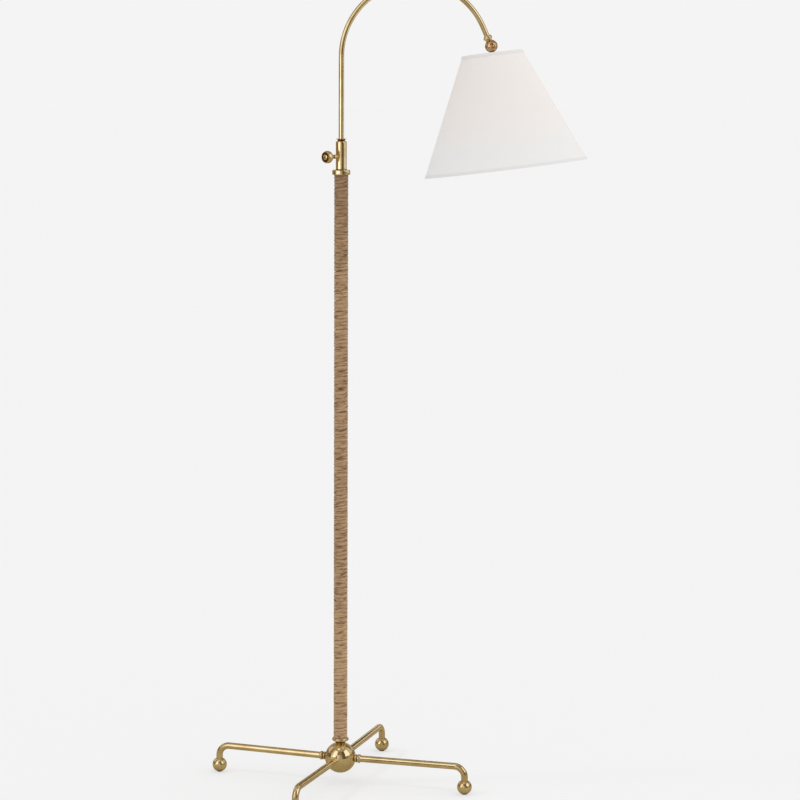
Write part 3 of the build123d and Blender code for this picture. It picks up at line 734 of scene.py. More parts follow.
@dataclass
class Stand:
    """Hub ball with four sockets, legs and ball feet. Sizes in millimetres."""

    turns: dict[str, float] = field(default_factory=lambda: {"right": -19.35, "back": 70.65, "left": 160.65,
                                                            "front": 250.65})
    hub_z: float = 50.2
    hub_r: float = 29.8
    hub_wall: float = 5.7
    cap_r: float = 9.0
    top_r: float = 9.9
    bore_r: float = 4.04
    socket_at: float = 26.82
    socket_len: float = 14.1
    leg_r: float = 6.35
    leg_start: float = 31.0
    rise: float = 0.63
    bend_r: float = 20.0
    reach: float = 250.0
    ball_r: float = 14.0
    flat_z: float = 1.0
    leg_end_z: float = 16.0
    pad_r: float = 4.6
    pad_recess: float = 0.8
    bend_steps: int = 16

    def way(self, name: str) -> np.ndarray:
        """Level direction of a leg."""
        turn = math.radians(self.turns[name])
        return np.array([math.cos(turn), math.sin(turn), 0.0])

    def rising(self, name: str) -> np.ndarray:
        """Direction of a leg's tube, which rises a little from the hub."""
        rise = math.radians(self.rise)
        return math.cos(rise) * self.way(name) + [0.0, 0.0, math.sin(rise)]

    @property
    def middle(self) -> np.ndarray:
        """Centre of the hub ball."""
        return np.array([0.0, 0.0, self.hub_z])

    @property
    def hub_top(self) -> float:
        """Height of the flat that the cup stands on."""
        return self.hub_z + math.sqrt(self.hub_r ** 2 - self.top_r ** 2)

    def hub(self) -> bpy.types.Object:
        """Hollow ball, flat at the top and open below."""
        inner_r = self.hub_r - self.hub_wall
        low = -math.sqrt(self.hub_r ** 2 - self.cap_r ** 2)
        high = math.sqrt(self.hub_r ** 2 - self.top_r ** 2)
        in_low = -math.sqrt(inner_r ** 2 - self.cap_r ** 2)
        in_high = math.sqrt(inner_r ** 2 - self.bore_r ** 2)
        points = [(self.bore_r, in_high), (self.bore_r, high)]
        points += bow((self.top_r, high), (self.hub_r, 0.0), (self.cap_r, low), 60)
        points += bow((self.cap_r, in_low), (inner_r, 0.0), (self.bore_r, in_high), 40)[:-1]
        return turned("hub", points, Outline.RING, Place.upright(z=self.hub_z), 0.3, 128)

    def socket(self, name: str) -> bpy.types.Object:
        """Turned socket: neck, small ring, groove, and a full bead at its mouth."""
        bore_r = self.leg_r + 0.04
        depth = self.leg_start - self.socket_at
        points = [(0.0, depth), (0.0, -self.hub_wall), (5.0, -self.hub_wall), (5.0, 0.0), (6.2, 0.0), (6.2, 3.3)]
        points += bow((6.5, 3.8), (7.7, 5.45), (7.0, 7.1))
        points += [(6.75, 7.4), (6.75, 8.3)]
        points += bow((7.1, 8.5), (8.35, 11.25), (7.25, self.socket_len))
        points += [(bore_r, self.socket_len), (bore_r, depth)]
        way = self.rising(name)
        return turned("leg_socket_" + name, points, Outline.SOLID, Place.along(self.middle + way * self.socket_at, way),
                      0.25, 72)

    def leg(self, name: str) -> bpy.types.Object:
        """Leg tube: out, round a bend of just over a quarter circle, and straight down into its foot."""
        level, way = self.way(name), self.rising(name)
        side = np.cross(level, [0.0, 0.0, 1.0])
        up = np.cross(side, way)
        sweep = math.radians(90 + self.rise)
        corner = self.middle + way * self.reach / (way @ level)
        centre = corner - way * self.bend_r * math.tan(sweep / 2) - up * self.bend_r
        turn = np.linspace(0, sweep, self.bend_steps + 1)[:, None]
        bend = centre + self.bend_r * (np.sin(turn) * way + np.cos(turn) * up)
        end = level * self.reach + [0.0, 0.0, self.leg_end_z]
        return bar("leg_" + name, np.vstack([self.middle + way * self.leg_start, bend, end]), side, self.leg_r, 48)

    def foot(self, name: str) -> bpy.types.Object:
        """Ball with a small flat below, a recess for its pad and a hole above for the leg."""
        ball = self.ball_r
        flat_r = math.sqrt(ball ** 2 - (ball - self.flat_z) ** 2)
        bore_r = self.leg_r + 0.04
        top = ball + math.sqrt(ball ** 2 - (bore_r + 0.5) ** 2)
        recess = self.flat_z + self.pad_recess
        points = [(0.0, recess), (self.pad_r + 0.04, recess), (self.pad_r + 0.04, self.flat_z)]
        points += bow((flat_r, self.flat_z), (ball, ball), (bore_r + 0.5, top), 48)
        points += [(bore_r, top - 0.4), (bore_r, self.leg_end_z), (0.0, self.leg_end_z)]
        place = Place.upright(*(self.way(name) * self.reach))
        return turned("ball_foot_" + name, points, Outline.SOLID, place, 0.15, 96)

    def build(self) -> None:
        """Makes and dresses every piece of the stand."""
        dressed(self.hub(), Finishes.BRASS, Body.BASE, "hub")
        for name in self.turns:
            for make, node in ((self.socket, "leg_socket_"), (self.leg, "leg_"), (self.foot, "ball_foot_")):
                dressed(make(name), Finishes.BRASS, Body.BASE, node + name)
            dress_nodes(Finishes.RUBBER, "foot_pad_" + name)
        dress_nodes(Finishes.BRASS, "hub_cap", "cord_bushing")
        dress_nodes(Finishes.STEEL, "base_nipple", "base_washer", "base_nut", "foot_screws", "foot_plugs")


# Column


@dataclass
class Rope:
    """Rope wound round the column from the cup to the flange. Sizes in millimetres.

    Its centreline is a helix. Pulled tight against its neighbours, the rope's section is a circle
    pressed towards a square, with |cos a|^p and |sin a|^p for its two half widths at angle a. Shallow
    grooves between the strands take off a share g |sin(n/2 (a - s))|^3, where s is the strands' own
    turn, which grows with the length. One more turn at each end runs out against the cup or the flange:
    it has only the height that is left there.
    """

    low: float = 88.1
    high: float = 1167.4
    lay_r: float = 9.78
    turns: int = 157
    half_across: float = 3.5
    half_along: float = 3.66
    press: float = 0.5
    strands: int = 3
    lay: float = 900.0
    groove: float = 0.03
    steps: int = 60
    sides: int = 20
    sections: int = 3
    end_run: float = 5.0

    def section(self, index: int) -> bpy.types.Object:
        """One of the lengths that the rope is made in, which meet face to face."""
        span = (self.turns + 2) / self.sections
        count = int(round(span * self.steps)) + 1
        turn = (np.linspace(0, span, count) + index * span)[:, None] - 1
        angle = 2 * np.pi * turn
        pitch = (self.high - self.low) / self.turns
        length = (turn + 1) * math.hypot(2 * math.pi * self.lay_r, pitch)
        inside = np.clip(np.minimum(turn, self.turns - turn) / 2, 0, 1)
        sway = 0.22 * np.sin(0.39 * angle) + 0.1 * np.sin(0.173 * angle + 1.0) + 0.1 * np.sin(1.37 * angle)
        swell = 1 + inside * (0.02 * np.sin(0.29 * angle) + 0.015 * np.sin(0.87 * angle + 2.0))
        height = self.low + pitch * turn + sway * inside
        under = np.maximum(height - self.half_along, self.low - self.half_along)
        over = np.minimum(height + self.half_along, self.high + self.half_along)
        out = np.concatenate([np.cos(angle), np.sin(angle), 0 * angle], axis=1)
        centre = self.lay_r * out + (under + over) / 2 * [0.0, 0.0, 1.0]
        climb = pitch / (2 * np.pi)
        way = np.concatenate([-self.lay_r * np.sin(angle), self.lay_r * np.cos(angle), climb + 0 * angle], axis=1)
        way /= np.linalg.norm(way, axis=1, keepdims=True)
        up = np.cross(out, way)
        around = np.linspace(-np.pi, np.pi, self.sides + 1)
        phase = self.strands / 2 * (around - 2 * np.pi * length / self.lay)
        hollow = np.abs(np.sin(phase)) ** 3
        whole = length[-1, 0] if index == self.sections - 1 else np.inf
        end = np.minimum(length, whole - length) if index in (0, self.sections - 1) else np.inf
        taper = np.sqrt(1 - (1 - np.clip(end / self.end_run, 0.0, 1.0)) ** 2)
        reach = (1 - self.groove * hollow) * swell * taper
        pressed = [np.sign(wave) * np.abs(wave) ** self.press for wave in (np.cos(around), np.sin(around))]
        across = (self.half_across * reach * pressed[0])[:, :-1, None] * out[:, None]
        along = ((over - under) / 2 * reach * pressed[1])[:, :-1, None] * up[:, None]
        uv = np.stack(np.broadcast_arrays(length * MM, around / (2 * np.pi) + 0.5), axis=-1)
        # Painted shade: darker in the strands' hollows, and most on the side of the rope that faces the column.
        inward = np.clip(0.5 - 0.5 * np.cos(around), 0, 1)
        dark = np.clip(hollow * 0.3 + inward ** 2 * 0.9, 0, 1)[:, :-1]
        return surface(f"rope_{index + 1}", centre[:, None] + across + along, False, uv, {"hollow": dark}, caps=True)

    def build(self) -> None:
        """Makes and dresses the rope."""
        made = [self.section(index) for index in range(self.sections)]
        for index, part in enumerate(made):
            nodes = ("rope_turns",) if index == 0 else ("rope_core",) if index == 1 else ()
            dressed(part, Finishes.ROPE, Body.BASE, *nodes)


@dataclass
class Column:
    """Cup, flange, clamp sleeve and its cap. Sizes in millimetres."""

    cup_z: float
    nipple_r: float = 4.04
    tube_r: float = 6.54
    cup_h: float = 10.9
    dish_h: float = 6.1
    seat_h: float = 2.1
    dish_r: float = 13.25
    flange_z: float = 1171.0
    flange_h: float = 8.6
    flange_r: float = 17.0
    sleeve_r: float = 10.3
    sleeve_top: float = 1233.0
    shoulder_z: float = 1193.0
    collet_floor: float = 1195.0
    collet_r: float = 7.66
    arm_bore_r: float = 5.35
    cap_h: float = 4.8
    thumb_z: float = 1205.0
    thumb_turn: float = 225.0

    def cup(self) -> bpy.types.Object:
        """Waisted cup that opens into the dish for the rope's end."""
        z = self.cup_z
        points = [(self.nipple_r, z + self.seat_h), (self.nipple_r, z), (9.9, z), (9.9, z + 0.7)]
        points += bow((9.6, z + 0.8), (8.4, z + 1.9), (9.2, z + 3.1))
        points += bow((9.8, z + 3.3), (12.4, z + 4.2), (13.9, z + 5.2), 6)
        points += bow((14.3, z + 5.3), (16.1, z + 7.9), (14.1, z + self.cup_h), 16)
        points += [(self.dish_r, z + self.cup_h), (self.dish_r, z + self.dish_h), (self.tube_r, z + self.dish_h),
                   (self.tube_r, z + self.seat_h)]
        return turned("base_cup", points, Outline.RING, ease=0.3, sides=112)

    def flange(self) -> bpy.types.Object:
        """Round collar with softened rims."""
        low, high = self.flange_z, self.flange_z + self.flange_h
        points = [(self.tube_r, low), (self.flange_r, low), (self.flange_r, high), (self.tube_r, high)]
        return turned("column_flange", points, Outline.RING, ease=0.8, sides=112)

    def sleeve(self) -> bpy.types.Object:
        """Plain sleeve on a small foot fillet, bored for the column below and the collet above."""
        low = self.flange_z + self.flange_h
        foot = bow((self.sleeve_r + 1.1, low), (self.sleeve_r + 0.33, low + 0.33), (self.sleeve_r, low + 1.1), 6)
        points = [(self.tube_r, low), *foot, (self.sleeve_r, self.sleeve_top - 0.9)]
        points += bow((self.sleeve_r, self.sleeve_top - 0.9), (self.sleeve_r - 0.27, self.sleeve_top - 0.27),
                      (self.sleeve_r - 0.9, self.sleeve_top), 6)
        points += [(self.collet_r, self.sleeve_top), (self.collet_r, self.collet_floor),
                   (self.arm_bore_r, self.collet_floor), (self.arm_bore_r, self.shoulder_z),
                   (self.tube_r, self.shoulder_z)]
        sleeve = turned("clamp_sleeve", points, Outline.RING, ease=0.2, sides=96)
        turn = math.radians(self.thumb_turn)
        place = Place.along((0, 0, self.thumb_z), (math.cos(turn), math.sin(turn), 0))
        drill = turned("tool", [(0, 3.0), (3.06, 3.0), (3.06, 15.0), (0, 15.0)], place=place, ease=0.0, sides=40)
        return carved(sleeve, drill)

    def cap(self) -> bpy.types.Object:
        """Flared cap: a waist over the sleeve and a thin dished lip."""
        z = self.sleeve_top
        points = [(self.arm_bore_r, z + 2.4), (self.arm_bore_r, z - 2.0), (7.62, z - 2.0), (7.62, z), (8.4, z)]
        points += bow((8.4, z + 0.5), (6.8, z + 1.7), (7.7, z + 3.1), 8)
        points += bow((8.0, z + 3.4), (9.0, z + 4.3), (10.3, z + self.cap_h), 6)
        points += [(9.8, z + self.cap_h)]
        points += bow((9.0, z + self.cap_h - 0.25), (7.6, z + 3.6), (6.9, z + 2.4), 6)
        return turned("sleeve_cap", points, Outline.RING, ease=0.15, sides=96)

    def build(self) -> None:
        """Makes and dresses every piece of the column."""
        for make, node in ((self.cup, "base_cup"), (self.flange, "column_flange"), (self.sleeve, "clamp_sleeve"),
                           (self.cap, "sleeve_cap")):
            dressed(make(), Finishes.BRASS, Body.BASE, node)
        dress_nodes(Finishes.STEEL, "column_tube", "column_plug")
        dress_nodes(Finishes.NYLON, "clamp_collet")


@dataclass
class ThumbScrew:
    """Turned knob and its stud. Heights run from the column's axis, in millimetres."""

    z: float = 1205.0
    turn: float = 225.0
    stud_r: float = 3.0
    stud_start: float = 7.9
    stud_end: float = 34.0

    @property
    def place(self) -> Place:
        """Frame on the screw's axis, z outwards."""
        turn = math.radians(self.turn)
        return Place.along((0, 0, self.z), (math.cos(turn), math.sin(turn), 0))

    def knob(self) -> bpy.types.Object:
        """Neck, waist, cone, rounded rim, ring groove and domed button."""
        bore_r = self.stud_r + 0.04
        points = [(0.0, self.stud_end), (bore_r, self.stud_end), (bore_r, 12.2), (3.9, 12.2), (3.9, 18.2)]
        points += bow((3.8, 18.6), (3.35, 20.7), (4.3, 23.2), 8)
        points += [(9.8, 31.0)]
        points += bow((10.2, 31.4), (11.6, 36.8), (10.0, 42.2), 20)
        points += [(8.5, 42.25)]
        points += bow((8.4, 42.2), (6.8, 39.8), (5.2, 42.2), 12)
        points += bow((5.2, 42.2), (2.7, 43.1), (0.0, 43.4), 10)
        return turned("thumb_knob", points, place=self.place, ease=0.3, sides=96)

    def stud(self) -> bpy.types.Object:
        """Threaded stud, its thread a fine wave along it: r less a share of a triangle wave."""
        height = np.linspace(self.stud_start, 12.4, 61)
        wave = np.abs((height / 0.7) % 1 - 0.5) * 2
        points = [(0.0, self.stud_start), *zip(self.stud_r - 0.35 * wave, height)]
        points += [(self.stud_r, 12.6), (self.stud_r, self.stud_end), (0.0, self.stud_end)]
        return turned("thumb_stud", points, place=self.place, ease=0.0, sides=40)

    def build(self) -> None:
        """Makes and dresses the knob and its stud."""
        dressed(self.knob(), Finishes.BRASS, Body.THUMB_SCREW, "thumb_knob")
        dressed(self.stud(), Finishes.BRASS, Body.THUMB_SCREW, "thumb_stud")


# Arm and swivel


@dataclass
class Arm:
    """Bent arm tube with the collar at its end. Sizes in millimetres."""

    tube_r: float = 5.0
    low_z: float = 1002.5
    arc_z: float = 1391.0
    arc_r: float = 137.4
    lean: float = 24.0
    tail: float = 24.1
    collar_start: float = 18.7
    collar_len: float = 8.4
    stem_bore_r: float = 2.86
    arc_steps: int = 128

    @property
    def way(self) -> np.ndarray:
        """Direction of the arm's tail."""
        lean = math.radians(self.lean)
        return np.array([math.sin(lean), 0.0, -math.cos(lean)])

    @property
    def end(self) -> np.ndarray:
        """Where the arc ends and the tail starts."""
        lean = math.radians(self.lean)
        return np.array([self.arc_r * (1 + math.cos(lean)), 0.0, self.arc_z + self.arc_r * math.sin(lean)])

    def tube(self) -> bpy.types.Object:
        """Straight run, part circle over the top, short tail."""
        turn = np.linspace(math.pi, math.radians(self.lean), self.arc_steps + 1)
        arc = np.stack([self.arc_r * (1 + np.cos(turn)), 0 * turn, self.arc_z + self.arc_r * np.sin(turn)], axis=1)
        path = np.vstack([[0.0, 0.0, self.low_z], arc, self.end + self.way * self.tail])
        return bar("arm_tube", path, np.array([0.0, 1.0, 0.0]), self.tube_r, 48)

    def collar(self) -> bpy.types.Object:
        """Beaded collar: a full bead between two small steps."""
        start, end = self.collar_start, self.collar_start + self.collar_len
        bore_r = self.tube_r + 0.04
        points = [(bore_r, self.tail), (bore_r, start), (6.2, start), (6.35, start + 1.0)]
        points += bow((6.6, start + 1.1), (8.45, (start + end) / 2), (6.6, end - 1.1), 16)
        points += [(6.35, end - 1.0), (6.2, end), (self.stem_bore_r, end), (self.stem_bore_r, self.tail)]
        return turned("knuckle_collar", points, Outline.RING, Place.along(self.end, self.way), 0.2, 80)

    def build(self) -> None:
        """Makes and dresses the arm."""
        dressed(self.tube(), Finishes.BRASS, Body.ARM, "arm_tube")
        dressed(self.collar(), Finishes.BRASS, Body.ARM, "knuckle_collar")
        dress_nodes(Finishes.NYLON, "arm_glide")


@dataclass
class Swivel:
    """Slotted ball on its stem, with the pivot screw through it. Sizes in millimetres."""

    place: Place
    ball_r: float = 11.75
    neck_r: float = 5.8
    neck_top: float = -12.05
    stem_r: float = 2.8
    stem_top: float = -17.75
    slot_w: float = 5.3
    slot_floor: float = 7.9
    head_r: float = 4.0
    seat_y: float = 8.0
    slot_turn: float = 40.0

    def across(self, sign: int) -> Place:
        """Frame on the pivot's axis: its z points to the viewer for -1 and away for 1."""
        return Place.along(self.place.origin, sign * self.place.axes[1], self.place.axes[0])

    def ball(self) -> bpy.types.Object:
        """Ball with neck and stem, slotted from below and bored for the screw's head and nut."""
        neck = -math.sqrt(self.ball_r ** 2 - (self.neck_r + 0.6) ** 2)
        points = [(0.0, self.stem_top), (self.stem_r, self.stem_top), (self.stem_r, self.neck_top),
                  (self.neck_r, self.neck_top), (self.neck_r, neck - 0.9)]
        points += bow((self.neck_r + 0.6, neck), (self.ball_r, 0.0), (0.0, self.ball_r), 60)
        # The ball gets painted shade all over through dull, which tints it amber.
        ball = turned("swivel_ball", points, place=self.place, ease=0.4, sides=128, dull=0.4)
        reach = 2 * self.ball_r
        half = self.slot_w / 2
        slot = box_tool((-reach, -half, -self.slot_floor), (reach, half, reach), self.place)
        seat = [(0.0, self.seat_y), (self.head_r + 0.3, self.seat_y), (self.head_r + 0.3, reach), (0.0, reach)]
        front = turned("tool", seat, place=self.across(-1), ease=0.0, sides=64)
        back = turned("tool", seat, place=self.across(1), ease=0.0, sides=64)
        return carved(ball, slot, front, back)

    def screw(self) -> bpy.types.Object:
        """Slotted round-head screw."""
        place = self.across(-1)
        points = [(0.0, -10.8), (2.5, -10.8), (2.5, self.seat_y), (self.head_r, self.seat_y)]
        points += bow((self.head_r, self.seat_y + 0.87), (2.45, self.seat_y + 2.0), (0.0, self.seat_y + 2.6), 12)
        # The screw gets painted shade all over through dull, which tints it amber.
        screw = turned("pivot_screw", points, place=place, ease=0.15, sides=56, dull=0.4)
        turn = math.radians(self.slot_turn)
        side = math.cos(turn) * place.axes[1] + math.sin(turn) * place.axes[0]
        slot = box_tool((-6, -0.55, self.seat_y + 1.4), (6, 0.55, self.seat_y + 4),
                        Place.along(place.origin, place.axes[2], side))
        return carved(screw, slot)

    def build(self) -> None:
        """Makes and dresses the swivel."""
        dressed(self.ball(), Finishes.BRASS, Body.SWIVEL, "swivel_ball")
        dressed(self.screw(), Finishes.BRASS, Body.SWIVEL, "pivot_screw")
        dress_nodes(Finishes.BRASS, "pivot_nut")
        dress_nodes(Finishes.STEEL, "stem_clip")


# Head


@dataclass
class Shade:
    """Cone shade with its tapes and wire rings. Distances run down its axis, in millimetres."""

    place: Place
    top_at: float = 12.9
    height: float = 216.0
    top_r: float = 56.25
    bottom_r: float = 152.5
    wall: float = 1.0
    wire_r: float = 1.6
    wire_drop: float = 2.4
    tape_w: float = 5.0
    tape_t: float = 0.4
    glue_t: float = 0.2
    seam_turn: float = 90.0
    seam_w: float = 9.0
    seam_t: float = 0.5
    hub_r: float = 13.0
    hub_at: float = 18.0
    hub_t: float = 1.6
    nipple_r: float = 4.94

    @property
    def slope(self) -> float:
        """Growth of the radius for each millimetre down the axis."""
        return (self.bottom_r - self.top_r) / self.height

    @property
    def wall_across(self) -> float:
        """The wall's thickness, measured square to the axis."""
        return self.wall * math.hypot(1, self.slope)

    def skin(self) -> bpy.types.Object:
        """Cone of cloth with a lapped seam: the outer radius grows by the lap's thickness across the seam.

        The surface coordinates are those of the flat cut. A point at slant distance s from the cone's
        tip and at angle a goes to (s cos(a k), s sin(a k)), where k is the sine of the half angle.
        """
        share = np.linspace(0, 1, 25)
        outer = np.stack([self.top_r + share * (self.bottom_r - self.top_r), self.top_at + share * self.height], axis=1)
        inner = outer[::-1] - [self.wall_across, 0.0]
        outline = np.vstack([outer, inner])
        lap = self.seam_w / self.bottom_r
        fine = np.concatenate([np.linspace(-1.4, -0.9, 5), np.linspace(-0.6, 0.9, 6), np.linspace(1.0, 1.2, 4)]) * lap
        angle = np.concatenate([fine, np.linspace(fine[-1], 2 * np.pi + fine[0], 200)[1:-1]])
        offset = np.where(angle > np.pi, angle - 2 * np.pi, angle) / lap
        rise = np.clip((offset + 1) / 0.3, 0, 1) * np.clip((1.05 - offset) / 0.06, 0, 1)
        radius = outline[:, 0, None] + np.concatenate([np.ones(25), np.zeros(25)])[:, None] * rise * self.seam_t
        turn = angle + math.radians(self.seam_turn)
        grid = np.stack([radius * np.cos(turn), radius * np.sin(turn), outline[:, 1, None] + 0 * turn], axis=-1)
        k = math.sin(math.atan(self.slope))
        slant = np.append(outline[:, 0], outline[0, 0])[:, None] / k * MM
        flat_turn = np.append(angle, angle[0] + 2 * np.pi) * k
        uv = np.stack([slant * np.cos(flat_turn), slant * np.sin(flat_turn)], axis=-1)
        drop = np.broadcast_to(np.concatenate([share, share[::-1]])[:, None], radius.shape)
        return surface("shade_skin", self.place.of(grid), True, uv, {"drop": drop})

    def tape(self, name: str, edge_r: float, edge_at: float, down: int) -> bpy.types.Object:
        """Tape folded over a rim."""
        side = edge_r + self.glue_t
        far_r, far_at = side + down * self.tape_w * self.slope, edge_at + down * self.tape_w
        points = [(edge_r - self.wall_across, edge_at), (edge_r - self.wall_across, edge_at - down * self.tape_t),
                  (side + self.tape_t, edge_at - down * self.tape_t), (far_r + self.tape_t, far_at), (far_r, far_at),
                  (side, edge_at)]
        return turned(name, points, Outline.RING, self.place, 0.15, 200)

    def ring_r(self, at: float) -> float:
        """Radius of a wire ring that lies against the inner wall."""
        wall = self.top_r + (at - self.top_at) * self.slope - self.wall_across
        return wall - (self.wire_r + 0.04) * math.hypot(1, self.slope)

    def ring(self, name: str, at: float) -> bpy.types.Object:
        """Wire ring."""
        centre = self.ring_r(at)
        points = bow((centre + self.wire_r, at), (centre - self.wire_r, at + 1e-3), (centre + self.wire_r, at - 1e-3), 20)
        return turned(name, points, Outline.RING, self.place, 0.0, 160)

    def spider(self) -> bpy.types.Object:
        """Upper ring, three spokes and the washer in their middle."""
        ring_at = self.top_at + self.wire_drop
        parts = [self.ring("ring", ring_at)]
        low, high = self.hub_at, self.hub_at + self.hub_t
        washer = [(self.nipple_r, low), (self.hub_r, low), (self.hub_r, high), (self.nipple_r, high)]
        parts.append(turned("washer", washer, Outline.RING, self.place, 0.25, 64))
        for spoke in range(3):
            turn = 2 * math.pi * spoke / 3
            out = np.array([math.cos(turn), math.sin(turn), 0.0])
            path = np.stack([out * self.hub_r * 0.8 + [0, 0, (low + high) / 2], out * self.ring_r(ring_at)
                             + [0, 0, ring_at]])
            side = np.array([-math.sin(turn), math.cos(turn), 0.0])
            parts.append(bar("spoke", self.place.of(path), side @ self.place.axes, self.wire_r * 0.95, 20))
        return joined("shade_spider", *parts)

    def build(self) -> None:
        """Makes and dresses the shade."""
        bottom_at = self.top_at + self.height
        skin = dressed(self.skin(), Finishes.SHADE, Body.HEAD, "shade_skin")
        dressed(self.tape("rim_tape_top", self.top_r, self.top_at, 1), Finishes.TAPE, Body.HEAD, "rim_tape_top")
        dressed(self.tape("rim_tape_bottom", self.bottom_r, bottom_at, -1), Finishes.TAPE, Body.HEAD, "rim_tape_bottom")
        spider = dressed(self.spider(), Finishes.WIRE, Body.HEAD, "shade_spider")
        dressed(self.ring("shade_lower_ring", bottom_at - self.wire_drop), Finishes.WIRE, Body.HEAD, "shade_lower_ring")
        slant = math.hypot(self.height, self.bottom_r - self.top_r)
        k = (self.bottom_r - self.top_r) / slant
        near, far, half = self.top_r / k, self.bottom_r / k, math.pi * k
        flat = (2 * far * math.sin(half) * MM, (far - near * math.cos(half)) * MM)
        area = math.pi * (self.top_r + self.bottom_r) * slant * MM ** 2


@dataclass
class LampHolder:
    """Socket cap, shell and body, bulb and switch key. Distances run down the shade's axis, in millimetres."""

    place: Place
    cap_at: float = 25.2
    shell_at: float = 37.2
    bulb_at: float = 54.0

    def cap(self) -> bpy.types.Object:
        """Domed cap with a rolled rim."""
        z = self.cap_at
        points = [(4.94, z + 0.9), (4.94, z), (8.5, z)]
        points += bow((8.5, z), (16.14, z + 2.64), (19.3, z + 9.0), 14)
        points += bow((19.3, z + 14.2), (20.0, z + 15.1), (19.3, z + 16.0), 8)
        points += [(19.3, z + 17.0), (18.4, z + 17.0), (18.4, z + 9.0)]
        points += bow((18.4, z + 9.0), (15.24, z + 3.27), (7.6, z + 0.9), 14)
        return turned("socket_cap", points, Outline.RING, self.place, 0.2, 96)

    def shell(self) -> bpy.types.Object:
        """Outer shell with a rolled bead near its mouth."""
        z = self.shell_at
        points = [(17.5, z), (18.3, z), (18.3, z + 35.0)]
        points += bow((18.3, z + 35.0), (19.1, z + 36.5), (18.3, z + 38.0), 10)
        points += [(18.3, z + 43.0), (17.5, z + 43.0)]
        shell = turned("socket_shell", points, Outline.RING, self.place, 0.2, 96)
        at = self.place.of(np.array([0.0, 0.0, 45.0]))
        towards = Place.along(at, -self.place.axes[1], self.place.axes[0])
        drill = turned("tool", [(0, 10.0), (1.95, 10.0), (1.95, 24.0), (0, 24.0)], place=towards, ease=0.0, sides=40)
        return carved(shell, drill)

    def bulb(self) -> bpy.types.Object:
        """Bulb glass: a neck that swells in an S curve to the ball, whose radius is r0 + (r1 - r0) s(t)."""
        start = self.bulb_at + 24.0
        centre = start + 52.0
        share = np.linspace(0, 1, 24)
        swell = share ** 2 * (3 - 2 * share) * 0.35 + share ** 1.7 * 0.65
        neck = list(zip(13.2 + (21.2 - 13.2) * swell, start + share * (centre - 21.2 - start)))
        points = [(0.0, start), *neck, *bow((21.22, centre - 21.2), (30.0, centre), (0.0, centre + 30.0), 40)]
        return turned("bulb_glass", points, place=self.place, ease=0.2, sides=96)

    def build(self) -> None:
        """Makes and dresses the holder, the bulb and the key."""
        dressed(self.cap(), Finishes.SOCKET, Body.HEAD, "socket_cap")
        dressed(self.shell(), Finishes.SOCKET, Body.HEAD, "socket_shell")
        dressed(self.bulb(), Finishes.GLASS, Body.HEAD, "bulb_glass")
        dressed(smooth_copy("switch_key", "turn_key"), Finishes.PHENOLIC, Body.SWITCH, "switch_key")
        dressed(smooth_copy("swivel_tongue", "tongue"), Finishes.BRASS, Body.HEAD, "swivel_tongue")
        dress_nodes(Finishes.PHENOLIC, "socket_body")
        dress_nodes(Finishes.STEEL, "head_nipple", "head_washer", "head_nut", "socket_screw_shell", "bulb_base")


# Studio


class Tones:
    """Finishes of the studio's cards."""

    DARK = Finish("card_dark", (62, 48, 36), 0.9)
    DEEP = Finish("card_deep", (100, 84, 66), 0.9)
    DIM = Finish("card_dim", (140, 124, 102), 0.9)
    MID = Finish("card_mid", (178, 165, 146), 0.9)
    PALE = Finish("card_pale", (216, 207, 193), 0.9)
    LIT = Lit("card_lit", (255, 252, 246), glow=1.2)
    BRIGHT = Lit("card_bright", (255, 252, 246), glow=1.7)
    GROUND = Finish("card_ground", (176, 164, 132), 0.9)


@dataclass(frozen=True)
class Card:
    """Upright curved card round the lamp: degrees to the right of the viewer, then metres."""

    name: str
    start: float
    end: float
    finish: Finish
    low: float = 0.0
    high: float = 6.0
    away: float = 4.2


CARDS = (
    Card("back_left", -180, -140, Tones.MID, 0.45, 2.2), Card("back_left_over", -180, -140, Tones.DIM, 2.2),
    Card("left_foot", -140, -106, Tones.DIM, 0.0, 1.3), Card("left_pale", -140, -106, Tones.PALE, 1.3, 3.8),
    Card("left_pale_over", -140, -106, Tones.MID, 3.8), Card("left_dim", -106, -78, Tones.DIM, 1.3),
    Card("left_deep", -106, -78, Tones.DEEP, 0.0, 1.3), Card("left_mid", -78, -62, Tones.PALE),
    Card("window_sill", -62, -29, Tones.PALE, 0.0, 0.8), Card("window_foot", -38, -27, Tones.DARK, 0.0, 0.85, 2.0),
    Card("left_window", -62, -29, Tones.LIT, 1.3), Card("left_window_low", -62, -23, Tones.BRIGHT, 0.8, 1.3),
    Card("front_left", -29, -8, Tones.PALE, 1.3, 2.4), Card("front_left_foot", -23, -8, Tones.PALE, 0.0, 1.3),
    Card("front", -8, 14, Tones.MID, 0.0, 2.4), Card("front_over", -29, 14, Tones.DIM, 2.4),
    Card("front_right", 14, 40, Tones.DEEP), Card("right_foot", 40, 62, Tones.DIM, 0.0, 1.3),
    Card("right_mid", 62, 84, Tones.MID, 0.0, 1.3), Card("right_dim", 84, 135, Tones.DIM, 0.0, 1.3),
    Card("right_window", 40, 82, Tones.LIT, 1.3), Card("right_pale", 82, 120, Tones.PALE, 1.3),
    Card("back_right_side", 120, 135, Tones.MID, 1.3, 2.0), Card("back_right", 135, 180, Tones.PALE, 0.45, 1.65),
    Card("back_right_line", 135, 180, Tones.DARK, 1.65, 2.0), Card("back_right_over", 120, 180, Tones.DIM, 2.0),
    Card("back_low", 135, 220, Tones.DEEP, 0.0, 0.45),
)


